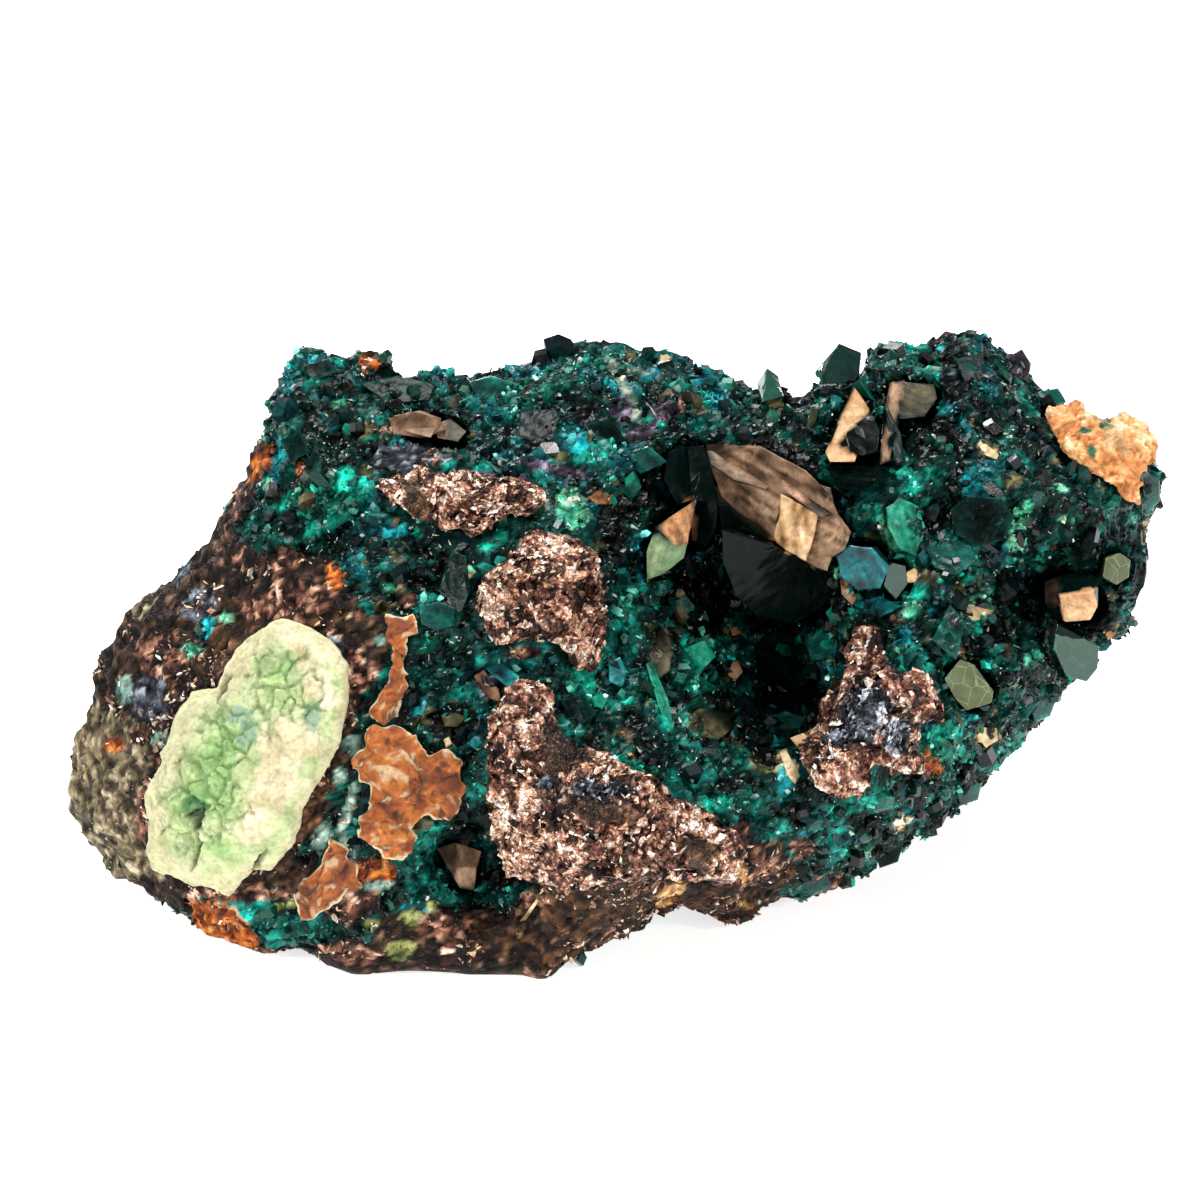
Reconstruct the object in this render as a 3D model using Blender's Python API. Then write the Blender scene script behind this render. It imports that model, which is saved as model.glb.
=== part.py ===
"""Dioptase specimen: emerald crystals and crusts on a block of brown gossan.

The face of the specimen is laid out on a drawing grid of 1200 x 1200 squares
(u to the right, v downwards) that stands upright in front of a point EYE, in
front of and above the rock. at(u, v, depth) walks down the sight line of a grid
point to a depth in millimetres behind the drawing plane, so every outline below
is a line on the face of the rock and every depth is a relief.

The rock is one body: a face sheet and a back sheet that share one rim. Its
underside is worn flat where it rests. The crusts lie on the face sheet, and the
larger crystals stand in sockets in it. Metres, +Z up, the face towards -Y.
"""

import math

import bmesh
import bpy
import numpy as np
from mathutils import Matrix, Vector, noise
from mathutils.geometry import delaunay_2d_cdt

# ---------------------------------------------------------------- dimensions
GRID_SQUARE = 0.0725e-3  # one grid square on the drawing plane
EYE_DISTANCE = 0.600  # from the eye to the middle of the drawing plane
EYE_TILT = math.radians(28.0)  # how far the sight line points down
PLANE_HEIGHT = 0.0245  # the plane's middle above the surface it rests on
MM = 0.001

GAP = 0.00032  # clearance between a crust and the rock
SOCKET = 0.00030  # clearance round a crystal in its socket
FACE_SPACING = 25.0  # net of the face sheet, grid squares
CRUST_SPACING = 17.0  # the same below a crust
BACK_SPACING = 33.0  # net of the back sheet
FACE_ROUNDING = 46.0  # how far in from the rim the face turns over
BACK_ROUNDING = 55.0
WORN_FLAT = 0.0006  # anything of the underside lower than this is worn to z = 0

SLAB_THICKNESS = 0.0019
OCHRE_THICKNESS = 0.0007
KNOB_THICKNESS = 0.0016
BRONZE_THICKNESS = 0.0011

# The rim, clockwise from the upper left: (u, v) or (u, v, depth in mm). A point
# with no depth takes it from its neighbours along the rim.
RIM = [
    (250, 447, 8), (263, 434), (268, 414), (270, 388, 9), (284, 366), (292, 353, 11),
    (327, 353), (348, 356), (360, 345, 12), (377, 348), (393, 366), (406, 373),
    (421, 366), (436, 365), (454, 377, 13), (480, 372), (498, 366), (523, 360),
    (541, 351), (569, 345), (588, 338, 15), (620, 338), (651, 346), (675, 350),
    (694, 358, 14), (710, 366), (732, 374), (750, 381), (766, 376, 13), (788, 380),
    (806, 384), (822, 378), (833, 360), (843, 352, 14), (861, 353), (878, 346),
    (898, 339, 15), (917, 345), (937, 338), (955, 334), (984, 334, 16), (1004, 347),
    (1020, 354), (1032, 376, 14), (1050, 388), (1066, 406, 12), (1084, 417),
    (1104, 420), (1124, 416, 10), (1143, 430), (1156, 448), (1164, 470, 9),
    (1167, 493), (1163, 508), (1148, 524, 9), (1147, 545), (1154, 566, 9),
    (1152, 580), (1142, 595), (1136, 615), (1128, 640, 9), (1116, 660), (1098, 668),
    (1084, 680), (1068, 690, 9), (1058, 708), (1040, 720), (1030, 735, 10),
    (1010, 756), (994, 778), (976, 797, 11), (956, 815), (932, 831, 10), (910, 846),
    (888, 857), (858, 879, 9), (827, 894), (800, 901, 8), (778, 901), (763, 904),
    (760, 918), (751, 929, 7), (730, 926), (708, 917), (680, 907, 6), (655, 917),
    (641, 930), (614, 943, 3), (588, 955), (571, 960), (560, 975), (547, 982, 0),
    (520, 976), (493, 975, 0.6), (470, 976), (440, 973), (412, 972, 1), (380, 975),
    (350, 974, 0.6), (322, 964), (300, 950, 3), (284, 954), (262, 957, 2), (235, 948),
    (210, 937, 4), (186, 922), (165, 906, 6), (142, 888), (114, 883), (99, 873, 9),
    (99, 854), (80, 834), (71, 812, 9), (65, 785), (65, 766, 9), (73, 736),
    (88, 714, 8), (88, 692), (97, 656, 8), (114, 640), (121, 614), (140, 596),
    (157, 584, 8), (184, 564), (206, 541), (216, 520, 8), (229, 496), (240, 478),
]

# Relief of the face sheet: (u, v, depth in mm), smaller is nearer to the eye.
FACE = [
    (150, 690, 3.0), (115, 790, 4.0), (160, 850, 2.0), (200, 600, 3.0),
    (250, 560, 1.0), (250, 690, -3.5), (210, 790, -3.5), (300, 700, -5.5),
    (300, 790, -5.5), (230, 870, -2.0), (290, 600, -2.5), (330, 560, -2.5),
    (300, 490, 1.5), (310, 400, 6.5), (350, 440, 2.5), (380, 400, 6.0),
    (430, 440, 2.5), (450, 395, 7.0), (420, 500, -1.5), (500, 500, -1.0),
    (540, 420, 5.0), (600, 395, 8.0), (660, 400, 7.5), (600, 450, 2.5),
    (680, 440, 5.0), (560, 490, 0.5), (400, 600, -4.5), (460, 580, -4.0),
    (540, 600, -5.0), (430, 680, -5.5), (480, 680, -5.0), (400, 780, -5.5),
    (350, 860, -4.5), (430, 860, -3.0), (500, 885, -1.0), (360, 930, -3.0),
    (270, 920, -0.5), (300, 875, -3.0), (440, 940, -2.8), (540, 950, -2.0),
    (520, 760, -8.0), (560, 820, -9.0), (640, 820, -8.5), (700, 850, -5.5),
    (600, 880, -7.5), (540, 700, -6.5), (640, 890, -5.0), (720, 890, -0.5),
    (600, 700, -3.5), (620, 620, -1.0), (640, 540, 0.5), (650, 480, 2.0),
    (690, 500, 2.5), (700, 600, 5.0), (740, 470, 2.0), (800, 500, 1.0),
    (760, 600, 8.0), (790, 690, 9.0), (730, 690, 3.5), (690, 680, -1.0),
    (680, 740, -5.0), (720, 770, -4.5), (780, 760, -2.0), (840, 760, -5.0),
    (800, 840, -2.0), (860, 700, -4.0), (900, 720, -4.5), (900, 800, -0.5),
    (830, 640, 1.0), (860, 570, -0.5), (900, 620, -3.0), (960, 680, -3.5),
    (960, 760, 1.0), (1010, 700, 0.5), (1040, 650, 1.5), (940, 560, -1.5),
    (900, 510, 0.5), (850, 470, 1.5), (790, 420, 6.0), (850, 410, 4.5),
    (900, 400, 5.0), (960, 390, 6.0), (940, 450, 2.0), (1000, 430, 4.0),
    (1000, 510, -1.0), (1060, 440, 4.5), (1110, 450, 4.0), (1080, 520, 1.0),
    (1030, 590, 2.5), (1080, 600, 4.5), (1120, 600, 5.0), (1130, 500, 4.5),
]

# Relief of the back sheet, in the same way.
BACK = [
    (300, 420, 16), (420, 420, 18), (560, 400, 20), (700, 410, 20), (850, 400, 19),
    (960, 390, 21), (1080, 460, 17), (1110, 550, 17), (180, 620, 17), (260, 520, 18),
    (400, 520, 23), (560, 500, 25), (720, 500, 25), (880, 490, 25), (1010, 500, 24),
    (120, 760, 18), (200, 720, 21), (330, 640, 26), (480, 620, 29), (640, 620, 29),
    (800, 610, 29), (940, 610, 28), (1050, 620, 22), (330, 780, 32), (480, 780, 34),
    (640, 780, 34), (800, 760, 31), (930, 730, 27), (1010, 690, 22), (940, 800, 19),
    (860, 840, 20), (700, 860, 28), (500, 900, 28), (300, 900, 22), (160, 860, 16),
]

# Holes in the crust: (u, v, radius in squares, depth in mm).
PITS = [
    (790, 695, 38, 5.5), (700, 590, 46, 2.0), (745, 640, 40, 2.0), (760, 575, 45, 2.0),
    (1050, 600, 34, 3.2), (1016, 588, 26, 2.5), (936, 516, 17, 3.0), (505, 880, 22, 2.2),
    (458, 858, 20, 1.6), (720, 870, 14, 1.0), (858, 470, 20, 1.5), (905, 470, 18, 1.0),
]

# Outlines of the crusts.
SLAB = [
    (290, 623), (312, 629), (335, 646), (351, 670), (349, 702), (340, 742), (323, 774),
    (311, 791), (304, 812), (297, 836), (286, 849), (274, 863), (260, 861), (246, 874),
    (234, 885), (219, 879), (203, 882), (186, 869), (165, 862), (157, 848), (164, 818),
    (156, 795), (174, 766), (181, 740), (192, 712), (204, 696), (230, 692), (236, 674),
    (248, 657), (266, 639),
]
OCHRE_MAIN = [
    (380, 731), (402, 732), (417, 744), (436, 756), (456, 758), (459, 775), (464, 795),
    (448, 808), (424, 814), (405, 824), (411, 845), (400, 862), (384, 861), (370, 848),
    (362, 830), (365, 808), (366, 786), (358, 766), (354, 748), (364, 737),
]
OCHRE_STRIP = [
    (390, 620), (409, 618), (414, 632), (406, 652), (401, 674), (403, 698), (404, 722),
    (386, 722), (372, 708), (375, 690), (388, 668), (392, 646),
]
OCHRE_FOOT = [
    (328, 842), (342, 852), (355, 869), (362, 884), (344, 898), (322, 907), (303, 910),
    (300, 894), (312, 876), (318, 858),
]
KNOB = [
    (1042, 420), (1064, 417), (1084, 426), (1104, 431), (1122, 424), (1138, 434),
    (1149, 452), (1143, 466), (1130, 474), (1131, 502), (1117, 497), (1100, 484),
    (1080, 470), (1062, 457), (1053, 440),
]
BRONZE_UPPER = [
    (380, 490), (398, 480), (424, 478), (452, 482), (482, 480), (512, 486), (540, 493),
    (548, 505), (530, 520), (500, 521), (484, 532), (472, 541), (458, 530), (436, 524),
    (410, 517), (392, 506),
]
BRONZE_MIDDLE = [
    (528, 541), (556, 541), (576, 543), (590, 554), (598, 578), (599, 620), (596, 656),
    (590, 676), (576, 674), (563, 656), (550, 641), (528, 642), (508, 646), (490, 632),
    (474, 610), (482, 582), (503, 569),
]
BRONZE_LOWER = [
    (518, 682), (536, 682), (546, 694), (552, 720), (562, 744), (580, 755), (604, 758),
    (626, 772), (652, 781), (676, 798), (704, 812), (728, 828), (740, 846), (734, 870),
    (712, 872), (684, 866), (656, 872), (626, 876), (598, 878), (572, 884), (546, 876),
    (520, 866), (502, 846), (496, 812), (493, 779), (488, 752), (492, 722), (508, 702),
]
BRONZE_RIGHT = [
    (868, 628), (880, 636), (885, 656), (890, 679), (908, 675), (926, 678), (938, 694),
    (934, 714), (914, 722), (914, 744), (915, 762), (900, 770), (882, 765), (868, 766),
    (858, 786), (838, 793), (816, 783), (802, 766), (806, 749), (822, 738), (830, 718),
    (834, 700), (848, 686), (856, 664), (852, 646),
]


# ------------------------------------------------------------- the drawing grid
RIGHT = Vector((1.0, 0.0, 0.0))
UP = Vector((0.0, math.sin(EYE_TILT), math.cos(EYE_TILT)))
INTO = Vector((0.0, math.cos(EYE_TILT), -math.sin(EYE_TILT)))
MIDDLE = Vector((0.0, 0.0, PLANE_HEIGHT))
EYE = MIDDLE - INTO * EYE_DISTANCE


def at(u, v, depth):
    """The point on the sight line of (u, v), depth mm behind the drawing plane."""
    on_plane = MIDDLE + RIGHT * ((u - 600) * GRID_SQUARE) + UP * ((600 - v) * GRID_SQUARE)
    return EYE + (on_plane - EYE) * (1.0 + depth * MM / EYE_DISTANCE)


class Relief:
    """A thin-plate surface through (u, v, depth) points."""

    def __init__(self, points, stiffness=0.02):
        table = np.array(points, float)
        self.known = table[:, :2] / 100.0
        count = len(table)
        away = np.linalg.norm(self.known[:, None] - self.known[None], axis=2)
        ones = np.hstack([np.ones((count, 1)), self.known])
        system = np.zeros((count + 3, count + 3))
        system[:count, :count] = self.bend(away) + stiffness * np.eye(count)
        system[:count, count:] = ones
        system[count:, :count] = ones.T
        self.weights = np.linalg.solve(system, np.append(table[:, 2], np.zeros(3)))

    @staticmethod
    def bend(away):
        return np.where(away > 1e-9, away**2 * np.log(np.maximum(away, 1e-9)), 0.0)

    def __call__(self, u, v):
        here = np.array((u, v)) / 100.0
        away = np.linalg.norm(self.known - here, axis=1)
        plane = self.weights[-3] + self.weights[-2:] @ here
        return float(self.bend(away) @ self.weights[:-3] + plane)


def rim_with_depths():
    """The rim with every depth filled in along its length."""
    count = len(RIM)
    known = [i for i in range(count) if len(RIM[i]) == 3]
    along = [0.0]
    for i in range(count):
        a, b = RIM[i], RIM[(i + 1) % count]
        along.append(along[-1] + math.hypot(b[0] - a[0], b[1] - a[1]))
    filled = []
    for i in range(count):
        if len(RIM[i]) == 3:
            filled.append(tuple(map(float, RIM[i])))
            continue
        before = max((k for k in known if k < i), default=known[-1] - count)
        after = min((k for k in known if k > i), default=known[0] + count)
        start = along[before % count] - (along[-1] if before < 0 else 0.0)
        end = along[after % count] + (along[-1] if after >= count else 0.0)
        share = (along[i] - start) / (end - start)
        depth = RIM[before % count][2] * (1 - share) + RIM[after % count][2] * share
        filled.append((float(RIM[i][0]), float(RIM[i][1]), depth))
    return filled


def inside(u, v, loop):
    """Whether (u, v) lies in the loop."""
    odd = False
    for (u0, v0), (u1, v1) in zip(loop, loop[1:] + loop[:1]):
        if (v0 > v) != (v1 > v) and u < (u1 - u0) * (v - v0) / (v1 - v0) + u0:
            odd = not odd
    return odd


def nearest_on(u, v, loop):
    """(distance, index of the segment, share along it) of the loop's nearest point."""
    best = (1e9, 0, 0.0)
    for i, (a, b) in enumerate(zip(loop, loop[1:] + loop[:1])):
        du, dv = b[0] - a[0], b[1] - a[1]
        length = du * du + dv * dv
        share = 0.0 if length == 0 else ((u - a[0]) * du + (v - a[1]) * dv) / length
        share = min(1.0, max(0.0, share))
        away = math.hypot(u - a[0] - share * du, v - a[1] - share * dv)
        if away < best[0]:
            best = (away, i, share)
    return best


FULL_RIM = rim_with_depths()
RIM_LOOP = [(u, v) for u, v, _ in FULL_RIM]
CRUST_LOOPS = [
    SLAB, OCHRE_MAIN, OCHRE_STRIP, OCHRE_FOOT, KNOB,
    BRONZE_UPPER, BRONZE_MIDDLE, BRONZE_LOWER, BRONZE_RIGHT,
]
FACE_RELIEF = Relief(FACE + [(u, v, d - 3.0) for u, v, d in FULL_RIM[::3]])
BACK_RELIEF = Relief(BACK + [(u, v, d + 4.0) for u, v, d in FULL_RIM[::3]])


def rim_depth(u, v):
    """(distance to the rim, the rim's depth there)."""
    away, i, share = nearest_on(u, v, RIM_LOOP)
    return away, FULL_RIM[i][2] * (1 - share) + FULL_RIM[(i + 1) % len(FULL_RIM)][2] * share


def rounded(away, reach):
    """0 at the rim to 1 at reach, as a quarter circle."""
    share = min(1.0, away / reach)
    return math.sqrt(1.0 - (1.0 - share) ** 2)


def roughness_of_face(u, v):
    """0 under a crust, which has a smooth seat, to 1 on open rock."""
    nearest = 1e9
    for loop in CRUST_LOOPS:
        if inside(u, v, loop):
            return 0.0
        nearest = min(nearest, nearest_on(u, v, loop)[0])
    return min(1.0, nearest / 22.0)


def face_depth(u, v):
    away, edge = rim_depth(u, v)
    turn = rounded(away, FACE_ROUNDING)
    depth = FACE_RELIEF(u, v)
    for pu, pv, reach, sunk in PITS:
        depth += sunk * math.exp(-((u - pu) ** 2 + (v - pv) ** 2) / (reach * reach))
    lumps = noise.fractal(Vector((u / 46.0, v / 46.0, 3.7)), 0.9, 2.0, 3)
    depth += 0.75 * lumps * roughness_of_face(u, v)
    return edge + (depth - edge) * turn


def back_depth(u, v):
    away, edge = rim_depth(u, v)
    turn = rounded(away, BACK_ROUNDING)
    # Broken rock: the lumps are steps, not swells.
    spot = Vector((u / 88.0, v / 88.0, 11.3))
    steps = noise.cell(spot * 1.0) * 0.9 + noise.fractal(spot * 1.9, 0.9, 2.0, 3) * 2.2
    depth = BACK_RELIEF(u, v) + steps
    return edge + (depth - edge) * turn


# -------------------------------------------------------------- shared helpers
def material(name, colour, roughness, metallic=0.0, transmission=0.0, ior=1.5):
    made = bpy.data.materials.new(name)
    made.use_nodes = True
    shader = made.node_tree.nodes["Principled BSDF"]
    shader.inputs["Base Color"].default_value = (*colour, 1.0)
    shader.inputs["Roughness"].default_value = roughness
    shader.inputs["Metallic"].default_value = metallic
    shader.inputs["Transmission Weight"].default_value = transmission
    shader.inputs["IOR"].default_value = ior
    made.diffuse_color = (*colour, 1.0)
    return made


def add_object(name, mesh, finish=None):
    made = bpy.data.objects.new(name, mesh)
    bpy.context.scene.collection.objects.link(made)
    if finish is not None:
        mesh.materials.append(finish)
    return made


def mesh_from(name, points, faces):
    """A closed mesh of these points and faces, with its faces turned outwards."""
    shape = bmesh.new()
    verts = [shape.verts.new(p) for p in points]
    for face in faces:
        shape.faces.new([verts[i] for i in face])
    bmesh.ops.recalc_face_normals(shape, faces=shape.faces)
    mesh = bpy.data.meshes.new(name)
    shape.to_mesh(mesh)
    shape.free()
    return mesh


def apply_boolean(target, other, operation):
    """Applies an exact Boolean to target and removes the other object."""
    step = target.modifiers.new(operation.title(), "BOOLEAN")
    step.operation = operation
    step.solver = "EXACT"
    step.object = other
    graph = bpy.context.evaluated_depsgraph_get()
    graph.update()
    result = bpy.data.meshes.new_from_object(target.evaluated_get(graph))
    target.modifiers.clear()
    target.data = result
    bpy.data.objects.remove(other, do_unlink=True)


def keep_largest_body(target):
    """Drops chips that a socket cut loose, and joins points that lie together."""
    shape = bmesh.new()
    shape.from_mesh(target.data)
    bmesh.ops.triangulate(shape, faces=shape.faces)
    bmesh.ops.remove_doubles(shape, verts=shape.verts, dist=2e-6)
    bmesh.ops.dissolve_degenerate(shape, edges=shape.edges, dist=2e-6)
    bmesh.ops.triangulate(shape, faces=shape.faces)
    left = set(shape.verts)
    bodies = []
    while left:
        start = left.pop()
        body, todo = {start}, [start]
        while todo:
            for edge in todo.pop().link_edges:
                for vert in edge.verts:
                    if vert in left:
                        left.discard(vert)
                        body.add(vert)
                        todo.append(vert)
        bodies.append(body)
    bodies.sort(key=len)
    for body in bodies[:-1]:
        bmesh.ops.delete(shape, geom=list(body), context="VERTS")
    shape.to_mesh(target.data)
    shape.free()


# -------------------------------------------------------------------- the rock
def net(loops, spacing_at):
    """A net of triangles inside the rim, with an edge along every loop.

    Returns the (u, v) points and the triangles."""
    points, edges = [], []
    for loop in loops:
        first = len(points)
        points += [Vector(p) for p in loop]
        edges += [(first + i, first + (i + 1) % len(loop)) for i in range(len(loop))]
    taken = np.array([tuple(p) for p in points])
    rng = np.random.default_rng(11)
    # Rows of points, every other row shifted, thinned to the spacing that each place asks for.
    fine = min(spacing_at(0.0, 0.0), spacing_at(250.0, 750.0))
    for row, v in enumerate(np.arange(330.0, 990.0, fine * 0.866)):
        for u in np.arange(60.0 + (row % 2) * fine / 2, 1175.0, fine):
            if not inside(u, v, RIM_LOOP):
                continue
            spacing = spacing_at(u, v)
            shift = rng.uniform(-0.12, 0.12, 2) * spacing
            here = np.array((u, v)) + shift
            if nearest_on(here[0], here[1], RIM_LOOP)[0] < spacing * 0.45:
                continue
            if np.min(np.hypot(*(taken - here).T)) < spacing * 0.72:
                continue
            points.append(Vector(here))
            taken = np.vstack([taken, here])
    verts, _, faces, *_ = delaunay_2d_cdt(points, edges, [], 0, 1e-4)
    flat = [(p.x, p.y) for p in verts]
    kept = []
    for face in faces:
        u = sum(flat[i][0] for i in face) / 3.0
        v = sum(flat[i][1] for i in face) / 3.0
        if inside(u, v, RIM_LOOP):
            kept.append(tuple(face))
    return flat, kept


def face_spacing(u, v):
    return CRUST_SPACING if any(inside(u, v, loop) for loop in CRUST_LOOPS) else FACE_SPACING


def build_rock(finish):
    """The gossan block. Returns the object and its face sheet (flat points, solid points, triangles)."""
    flat, triangles = net([RIM_LOOP] + CRUST_LOOPS, face_spacing)
    solid = [at(u, v, face_depth(u, v)) for u, v in flat]
    on_rim = {}
    for i, (u, v) in enumerate(flat):
        for k, (ru, rv) in enumerate(RIM_LOOP):
            if abs(u - ru) < 1e-3 and abs(v - rv) < 1e-3:
                on_rim[k] = i
                solid[i] = at(u, v, FULL_RIM[k][2])
    for i, point in enumerate(solid):
        if point.z < WORN_FLAT * 0.5:
            solid[i] = Vector((point.x, point.y, 0.0))
    points = list(solid)
    faces = list(triangles)
    back_flat, back_triangles = net([RIM_LOOP], lambda u, v: BACK_SPACING)
    index = {}
    for i, (u, v) in enumerate(back_flat):
        for k, (ru, rv) in enumerate(RIM_LOOP):
            if abs(u - ru) < 1e-3 and abs(v - rv) < 1e-3:
                index[i] = on_rim[k]
        if i in index:
            continue
        point = at(u, v, back_depth(u, v))
        if point.z < WORN_FLAT:
            # Slide along the sight line to the floor, so that the underside is flat.
            sight = (point - EYE).normalized()
            point = EYE + sight * (EYE.z / -sight.z)
            point.z = 0.0
        index[i] = len(points)
        points.append(point)
    faces += [tuple(index[i] for i in reversed(face)) for face in back_triangles]
    rock = add_object("gossan_rock", mesh_from("gossan_rock", points, faces), finish)
    return rock, (flat, solid, triangles)


# ------------------------------------------------------------------ the crusts
def build_crust(name, loop, thickness, edge_share, lumps, seed, sheet, finish):
    """A crust on the face sheet: the sheet's own triangles inside the loop, lifted
    by GAP for the underside and by its thickness for the top."""
    flat, solid, triangles = sheet
    normals = [Vector() for _ in solid]
    for a, b, c in triangles:
        normal = (solid[b] - solid[a]).cross(solid[c] - solid[a])
        if normal.dot(EYE - solid[a]) < 0:
            normal = -normal
        for i in (a, b, c):
            normals[i] += normal
    chosen = []
    for face in triangles:
        u = sum(flat[i][0] for i in face) / 3.0
        v = sum(flat[i][1] for i in face) / 3.0
        if inside(u, v, loop):
            chosen.append(face)
    used = sorted({i for face in chosen for i in face})
    place = {i: k for k, i in enumerate(used)}
    count = len(used)
    under, top = [], []
    for i in used:
        u, v = flat[i]
        normal = normals[i].normalized()
        away = nearest_on(u, v, loop)[0]
        rise = edge_share + (1 - edge_share) * rounded(away, 22.0)
        bump = noise.fractal(Vector((u / 30.0, v / 30.0, seed)), 0.8, 2.0, 3)
        height = thickness * rise * (1.0 + lumps * bump)
        under.append(solid[i] + normal * GAP)
        top.append(solid[i] + normal * (GAP + max(height, thickness * 0.2)))
    faces = [tuple(place[i] for i in face) for face in chosen]
    seen = {}
    for face in faces:
        for a, b in ((face[0], face[1]), (face[1], face[2]), (face[2], face[0])):
            seen.setdefault((min(a, b), max(a, b)), []).append((a, b))
    walls = [pairs[0] for pairs in seen.values() if len(pairs) == 1]
    shell = [tuple(k + count for k in face) for face in faces]
    shell += [tuple(reversed(face)) for face in faces]
    for a, b in walls:
        shell += [(a, b, b + count), (a, b + count, a + count)]
    return add_object(name, mesh_from(name, under + top, shell), finish)


# ---------------------------------------------------------------- the crystals
def plane_point(u, v, plane):
    """The point of the sight line of (u, v) on the plane (point, normal)."""
    sight = at(u, v, 0.0) - EYE
    origin, normal = plane
    return EYE + sight * ((origin - EYE).dot(normal) / sight.dot(normal))


def slab_points(loop, middle, lean, root):
    """The corners of a crystal with a flat front of this outline.

    middle is (u, v, depth); lean is how many mm deeper the front goes per square
    to the right and per square down; root is how far the back lies from the front:
    squares to the right, squares down, mm deeper, and its size as a share."""
    mu, mv, depth = middle
    corner = [
        at(mu, mv, depth),
        at(mu + 40, mv, depth + 40 * lean[0]),
        at(mu, mv + 40, depth + 40 * lean[1]),
    ]
    normal = (corner[1] - corner[0]).cross(corner[2] - corner[0]).normalized()
    front = [plane_point(u, v, (corner[0], normal)) for u, v in loop]
    shift = at(mu + root[0], mv + root[1], depth + root[2]) - corner[0]
    centre = sum(front, Vector()) / len(front)
    back = [centre + (p - centre) * root[3] + shift for p in front]
    return front + back


def hull_mesh(name, points, swell=0.0):
    """The convex solid round the points, grown by swell on every side."""
    shape = bmesh.new()
    for p in points:
        if swell == 0.0:
            shape.verts.new(p)
            continue
        for x in (-swell, swell):
            for y in (-swell, swell):
                for z in (-swell, swell):
                    shape.verts.new(p + Vector((x, y, z)))
    bmesh.ops.convex_hull(shape, input=shape.verts)
    loose = [v for v in shape.verts if not v.link_faces]
    bmesh.ops.delete(shape, geom=loose, context="VERTS")
    bmesh.ops.dissolve_limit(
        shape, angle_limit=math.radians(1.0), verts=shape.verts, edges=shape.edges
    )
    bmesh.ops.recalc_face_normals(shape, faces=shape.faces)
    mesh = bpy.data.meshes.new(name)
    shape.to_mesh(mesh)
    shape.free()
    return mesh


def build_crystals(name, blocks, rock, crusts, finish):
    """Crystals that have grown together: the union of their convex blocks. Each
    block first cuts its socket in the rock, and in any crust it stands through."""
    for block in blocks:
        for body in [rock, *crusts]:
            cutter = add_object("socket", hull_mesh("socket", block, SOCKET))
            apply_boolean(body, cutter, "DIFFERENCE")
    made = add_object(name, hull_mesh(name, blocks[0]), finish)
    for block in blocks[1:]:
        other = add_object("twin", hull_mesh("twin", block), finish)
        apply_boolean(made, other, "UNION")
    return made


def spots(*points):
    return [at(u, v, d) for u, v, d in points]


# The blocks of each crystal group.
POCKET_ROOF = [
    slab_points(
        [(707, 451), (738, 446), (764, 454), (785, 470), (766, 489), (734, 480), (711, 464)],
        (745, 468, -1.2), (0.004, -0.055), (4, 14, 8.0, 1.0),
    ),
    slab_points(
        [(783, 471), (810, 481), (831, 488), (836, 512), (827, 523), (782, 503)],
        (808, 497, -2.6), (0.0, -0.045), (0, 8, 9.0, 1.0),
    ),
    slab_points(
        [(782, 504), (815, 513), (809, 540), (804, 559), (789, 553), (776, 543), (776, 520)],
        (795, 530, -2.4), (0.012, 0.0), (-2, -6, 9.0, 1.0),
    ),
    slab_points(
        [(811, 542), (817, 519), (827, 517), (845, 533), (833, 545), (832, 558), (822, 569), (810, 565)],
        (827, 543, -1.6), (0.03, 0.01), (-4, -6, 8.0, 1.0),
    ),
    slab_points(
        [(722, 530), (776, 546), (806, 561), (826, 574), (832, 592), (822, 607), (792, 624), (758, 617), (736, 596), (723, 562)],
        (778, 580, 0.8), (0.01, 0.05), (0, -14, 8.5, 0.95),
    ),
    slab_points(
        [(714, 486), (757, 494), (786, 488), (786, 530), (770, 546), (722, 530)],
        (750, 510, 0.9), (0.0, 0.015), (0, -4, 8.0, 1.0),
    ),
]
POCKET_LEFT = [
    slab_points(
        [(685, 448), (703, 445), (711, 462), (718, 512), (715, 530), (704, 546), (692, 540), (690, 480)],
        (702, 495, 0.6), (-0.05, -0.012), (-2, 0, 7.5, 1.0),
    ),
    slab_points(
        [(668, 452), (684, 447), (691, 480), (692, 500), (678, 505), (664, 480)],
        (680, 480, 0.9), (0.04, -0.02), (0, 0, 7.0, 1.0),
    ),
    spots(
        (697, 499, -0.2), (683, 508, -0.8), (655, 527, -1.6), (674, 546, -2.8),
        (688, 541, -2.4), (684, 558, -2.1), (664, 574, -1.9), (647, 580, -1.4),
        (646, 552, -1.5), (690, 506, 6.5), (655, 536, 6.5), (650, 574, 6.5), (684, 560, 6.5),
    ),
]
ARROW = [
    slab_points(
        [(854, 386), (870, 409), (863, 440), (855, 462), (830, 462), (825, 452), (838, 420)],
        (847, 430, 1.2), (0.02, -0.035), (2, 4, 7.5, 1.0),
    ),
    slab_points(
        [(871, 411), (880, 430), (877, 452), (861, 456), (842, 443), (846, 427)],
        (862, 434, 0.4), (-0.03, -0.01), (0, 4, 7.0, 1.0),
    ),
]
BLADE = [
    slab_points(
        [(899, 381), (934, 384), (937, 398), (924, 417), (899, 419)],
        (917, 400, 3.0), (-0.01, -0.05), (2, 4, 7.0, 1.0),
    ),
    slab_points(
        [(890, 382), (905, 379), (901, 410), (890, 461), (880, 465), (882, 430)],
        (891, 424, 1.6), (0.04, -0.05), (2, 4, 7.0, 1.0),
    ),
]
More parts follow.
